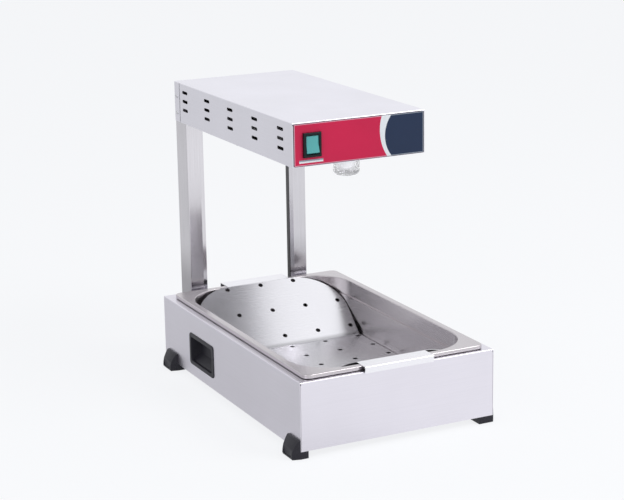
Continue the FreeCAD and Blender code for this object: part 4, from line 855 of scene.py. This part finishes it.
def make_gland():
    """The cable gland: a chamfered hexagon on its stem, a ribbed dome nut, and a seal in its mouth."""
    low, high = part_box("cable_gland")
    middle = Vector(((low.x + high.x) / 2, 0, (low.z + high.z) / 2))
    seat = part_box("head_rear_cover")[1].y
    shelf = seat + HEXAGON_TALL
    inside, around_seal = GLAND_BORE + STEM_PLAY, GLAND_BORE + SEAL_THICK
    edge = GLAND_HEXAGON * HEXAGON_CHAMFER
    stem = [(inside, low.y), (GLAND_STEM, low.y), (GLAND_STEM, shelf), (inside, shelf)]
    hexagon = [(edge, seat), (GLAND_HEXAGON, seat + HEXAGON_EDGE), (GLAND_HEXAGON, shelf - HEXAGON_EDGE),
               (edge, shelf)]
    dome = [(GLAND_DOME * share, seat + height) for share, height in DOME_PROFILE]
    dome += [(GLAND_DOME * DOME_MOUTH, high.y), (around_seal, high.y), (around_seal, shelf)]
    start = seat + SEAL_START
    outer_in, lip_in, bore_in = SEAL_IN
    seal = [(GLAND_BORE, start), (around_seal, start), (around_seal, high.y - outer_in),
            (GLAND_BORE + SEAL_LIP, high.y - lip_in), (GLAND_BORE, high.y - bore_in)]
    flats = turned("cable_gland_flats", hexagon, middle, Y_AXIS, steps=6)
    parts = (
        ("stem", "black_plastic", turned("cable_gland_stem", stem, middle, Y_AXIS, closed=True)),
        ("flats", "black_plastic", modified(flats, "BEVEL", width=HEXAGON_ROUND, segments=2)),
        ("dome", "black_plastic", turned("cable_gland_dome", dome, middle, Y_AXIS, steps=144, closed=True,
                                         ribs=DOME_RIBS)),
        ("seal", "seal_rubber", turned("cable_gland_seal", seal, middle, Y_AXIS, closed=True)),
    )
    for word, material, mesh in parts:
        piece = dressed(f"cable_gland_{word}", mesh, material, "cable_gland")
        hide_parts("cable_gland")


# The printed front: arcs through three places bound the white crescent between the red and the navy fields.
# Each place is X from the base's middle and Z, in millimetres.
RED_EDGE = ((41.8, 507.0), (36.3, 478.5), (54.7, 428.0))
NAVY_EDGE = ((60.4, 505.0), (46.4, 477.5), (60.0, 432.0))
ARC_STEPS = 40
# The print's thickness, and how far its border and its fields stay in from the film's edge.
PRINT_THICK = 0.12 * MM
# The dark film shows between the border and its edge as a painted shadow line.
BORDER_INSET = 0.9 * MM
FIELD_INSET = 2.3 * MM
# How far the switch's frame covers the edge of the hole for it.
FRAME_LAP = 1.0 * MM
# The bars under the switch: their ends from the base's middle, then word, tone, lower edge and height. The
# white bar is print, and the grey bar over it is painted shade along the strip's top.
BAR_LEFT = -108.0 * MM
BAR_RIGHT = -65.6 * MM
BARS = (("top_shade", "grey_print", 441.6 * MM, 2.2 * MM), ("white", "white_print", 438.9 * MM, 2.7 * MM))


def arc_x(edge, z):
    """X in metres of the arc through an edge's three places, at a height in metres."""
    (ax, az), (bx, bz), (cx, cz) = edge
    scale = 2 * (ax * (bz - cz) + bx * (cz - az) + cx * (az - bz))
    squares = [x * x + y * y for x, y in edge]
    x0 = (squares[0] * (bz - cz) + squares[1] * (cz - az) + squares[2] * (az - bz)) / scale
    z0 = (squares[0] * (cx - bx) + squares[1] * (ax - cx) + squares[2] * (bx - ax)) / scale
    radius = math.hypot(ax - x0, az - z0)
    drop = z / MM - z0
    return BASE_MIDDLE.x + (x0 - math.sqrt(max(radius * radius - drop * drop, 0.0))) * MM


def rectangle(left, right, bottom, top):
    """The corners of an upright rectangle, from its left foot round to its left top."""
    return [(left, bottom), (right, bottom), (right, top), (left, top)]


def front_sheet(name, outline, face_y, thick, material, holes=()):
    """A thin flat sheet on the head's front, from an outline in X and Z."""
    made = bmesh.new()
    loops, twins = [], {}
    for ring in (outline, *holes):
        rear = [made.verts.new((x, face_y, z)) for x, z in ring]
        front = [made.verts.new((x, face_y - thick, z)) for x, z in ring]
        twins.update(zip(rear, front))
        join_rings(made, rear, front)
        loops += [made.edges.get(pair) for pair in zip(rear, rear[1:] + rear[:1])]
    filled = bmesh.ops.triangle_fill(made, use_beauty=True, use_dissolve=False, edges=loops)
    triangles = [item for item in filled["geom"] if isinstance(item, bmesh.types.BMFace)]
    for triangle in triangles:
        made.faces.new([twins[corner] for corner in triangle.verts])
    piece_from(name, mesh_of(made, name), material, "base")


def print_fields(word, inset, face, tones, holes):
    """Three fields side by side, as far from the sheet's edge as the inset."""
    low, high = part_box("front_overlay")
    x0, x1, z0, z1 = low.x + inset, high.x - inset, low.z + inset, high.z - inset
    heights = [z0 + (z1 - z0) * step / ARC_STEPS for step in range(ARC_STEPS + 1)]
    left = [(arc_x(RED_EDGE, z), z) for z in heights]
    right = [(arc_x(NAVY_EDGE, z), z) for z in heights]
    front_sheet(f"print_{word}_left", [(x0, z1), (x0, z0), *left], face, PRINT_THICK, tones[0], holes)
    front_sheet(f"print_{word}_middle", [*left, *reversed(right)], face, PRINT_THICK, tones[1])
    front_sheet(f"print_{word}_right", [*right, (x1, z1), (x1, z0)], face, PRINT_THICK, tones[2])


def make_print():
    """A pale border, the red, white and navy fields within it, and the bars under the switch."""
    low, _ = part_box("front_overlay")
    bezel_low, bezel_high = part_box("switch_bezel")
    window = rectangle(bezel_low.x + FRAME_LAP, bezel_high.x - FRAME_LAP, bezel_low.z + FRAME_LAP,
                       bezel_high.z - FRAME_LAP)
    print_fields("border", BORDER_INSET, low.y, ("pink_print", "white_print", "grey_print"), [window])
    face = low.y - PRINT_THICK
    print_fields("field", FIELD_INSET, face, ("red_print", "white_print", "navy_print"), [window])
    face -= PRINT_THICK
    left, right = BASE_MIDDLE.x + BAR_LEFT, BASE_MIDDLE.x + BAR_RIGHT
    for word, tone, bottom, tall in BARS:
        bar = rectangle(left, right, bottom, bottom + tall)
        front_sheet(f"print_bar_{word}", bar, face, PRINT_THICK / 2, tone)


bpy.context.scene.view_settings.view_transform = "Standard"
make_camera()
make_world()
make_floor()
make_softboxes()
dress_nodes()
for foot in FEET:
    bevelled(foot, "slate_plastic", FOOT_ROUND)
for grip in GRIPS:
    bevelled(grip, "slate_plastic", GRIP_ROUND, segments=2)
bevelled("switch_rocker", "green_rocker", ROCKER_ROUND)
make_screws("head_side_screws", SCREW_HEAD)
for downward in ("underside_screws", "lamp_screws", "bottom_plate_screws", "foot_screws"):
    make_screws(downward, SCREW_HEAD, (0, 0, -1))
make_screws("post_bolts", BOLT_HEAD, (0, 1, 0))
make_jar()
make_bulb()
make_coils()
make_gland()
make_print()
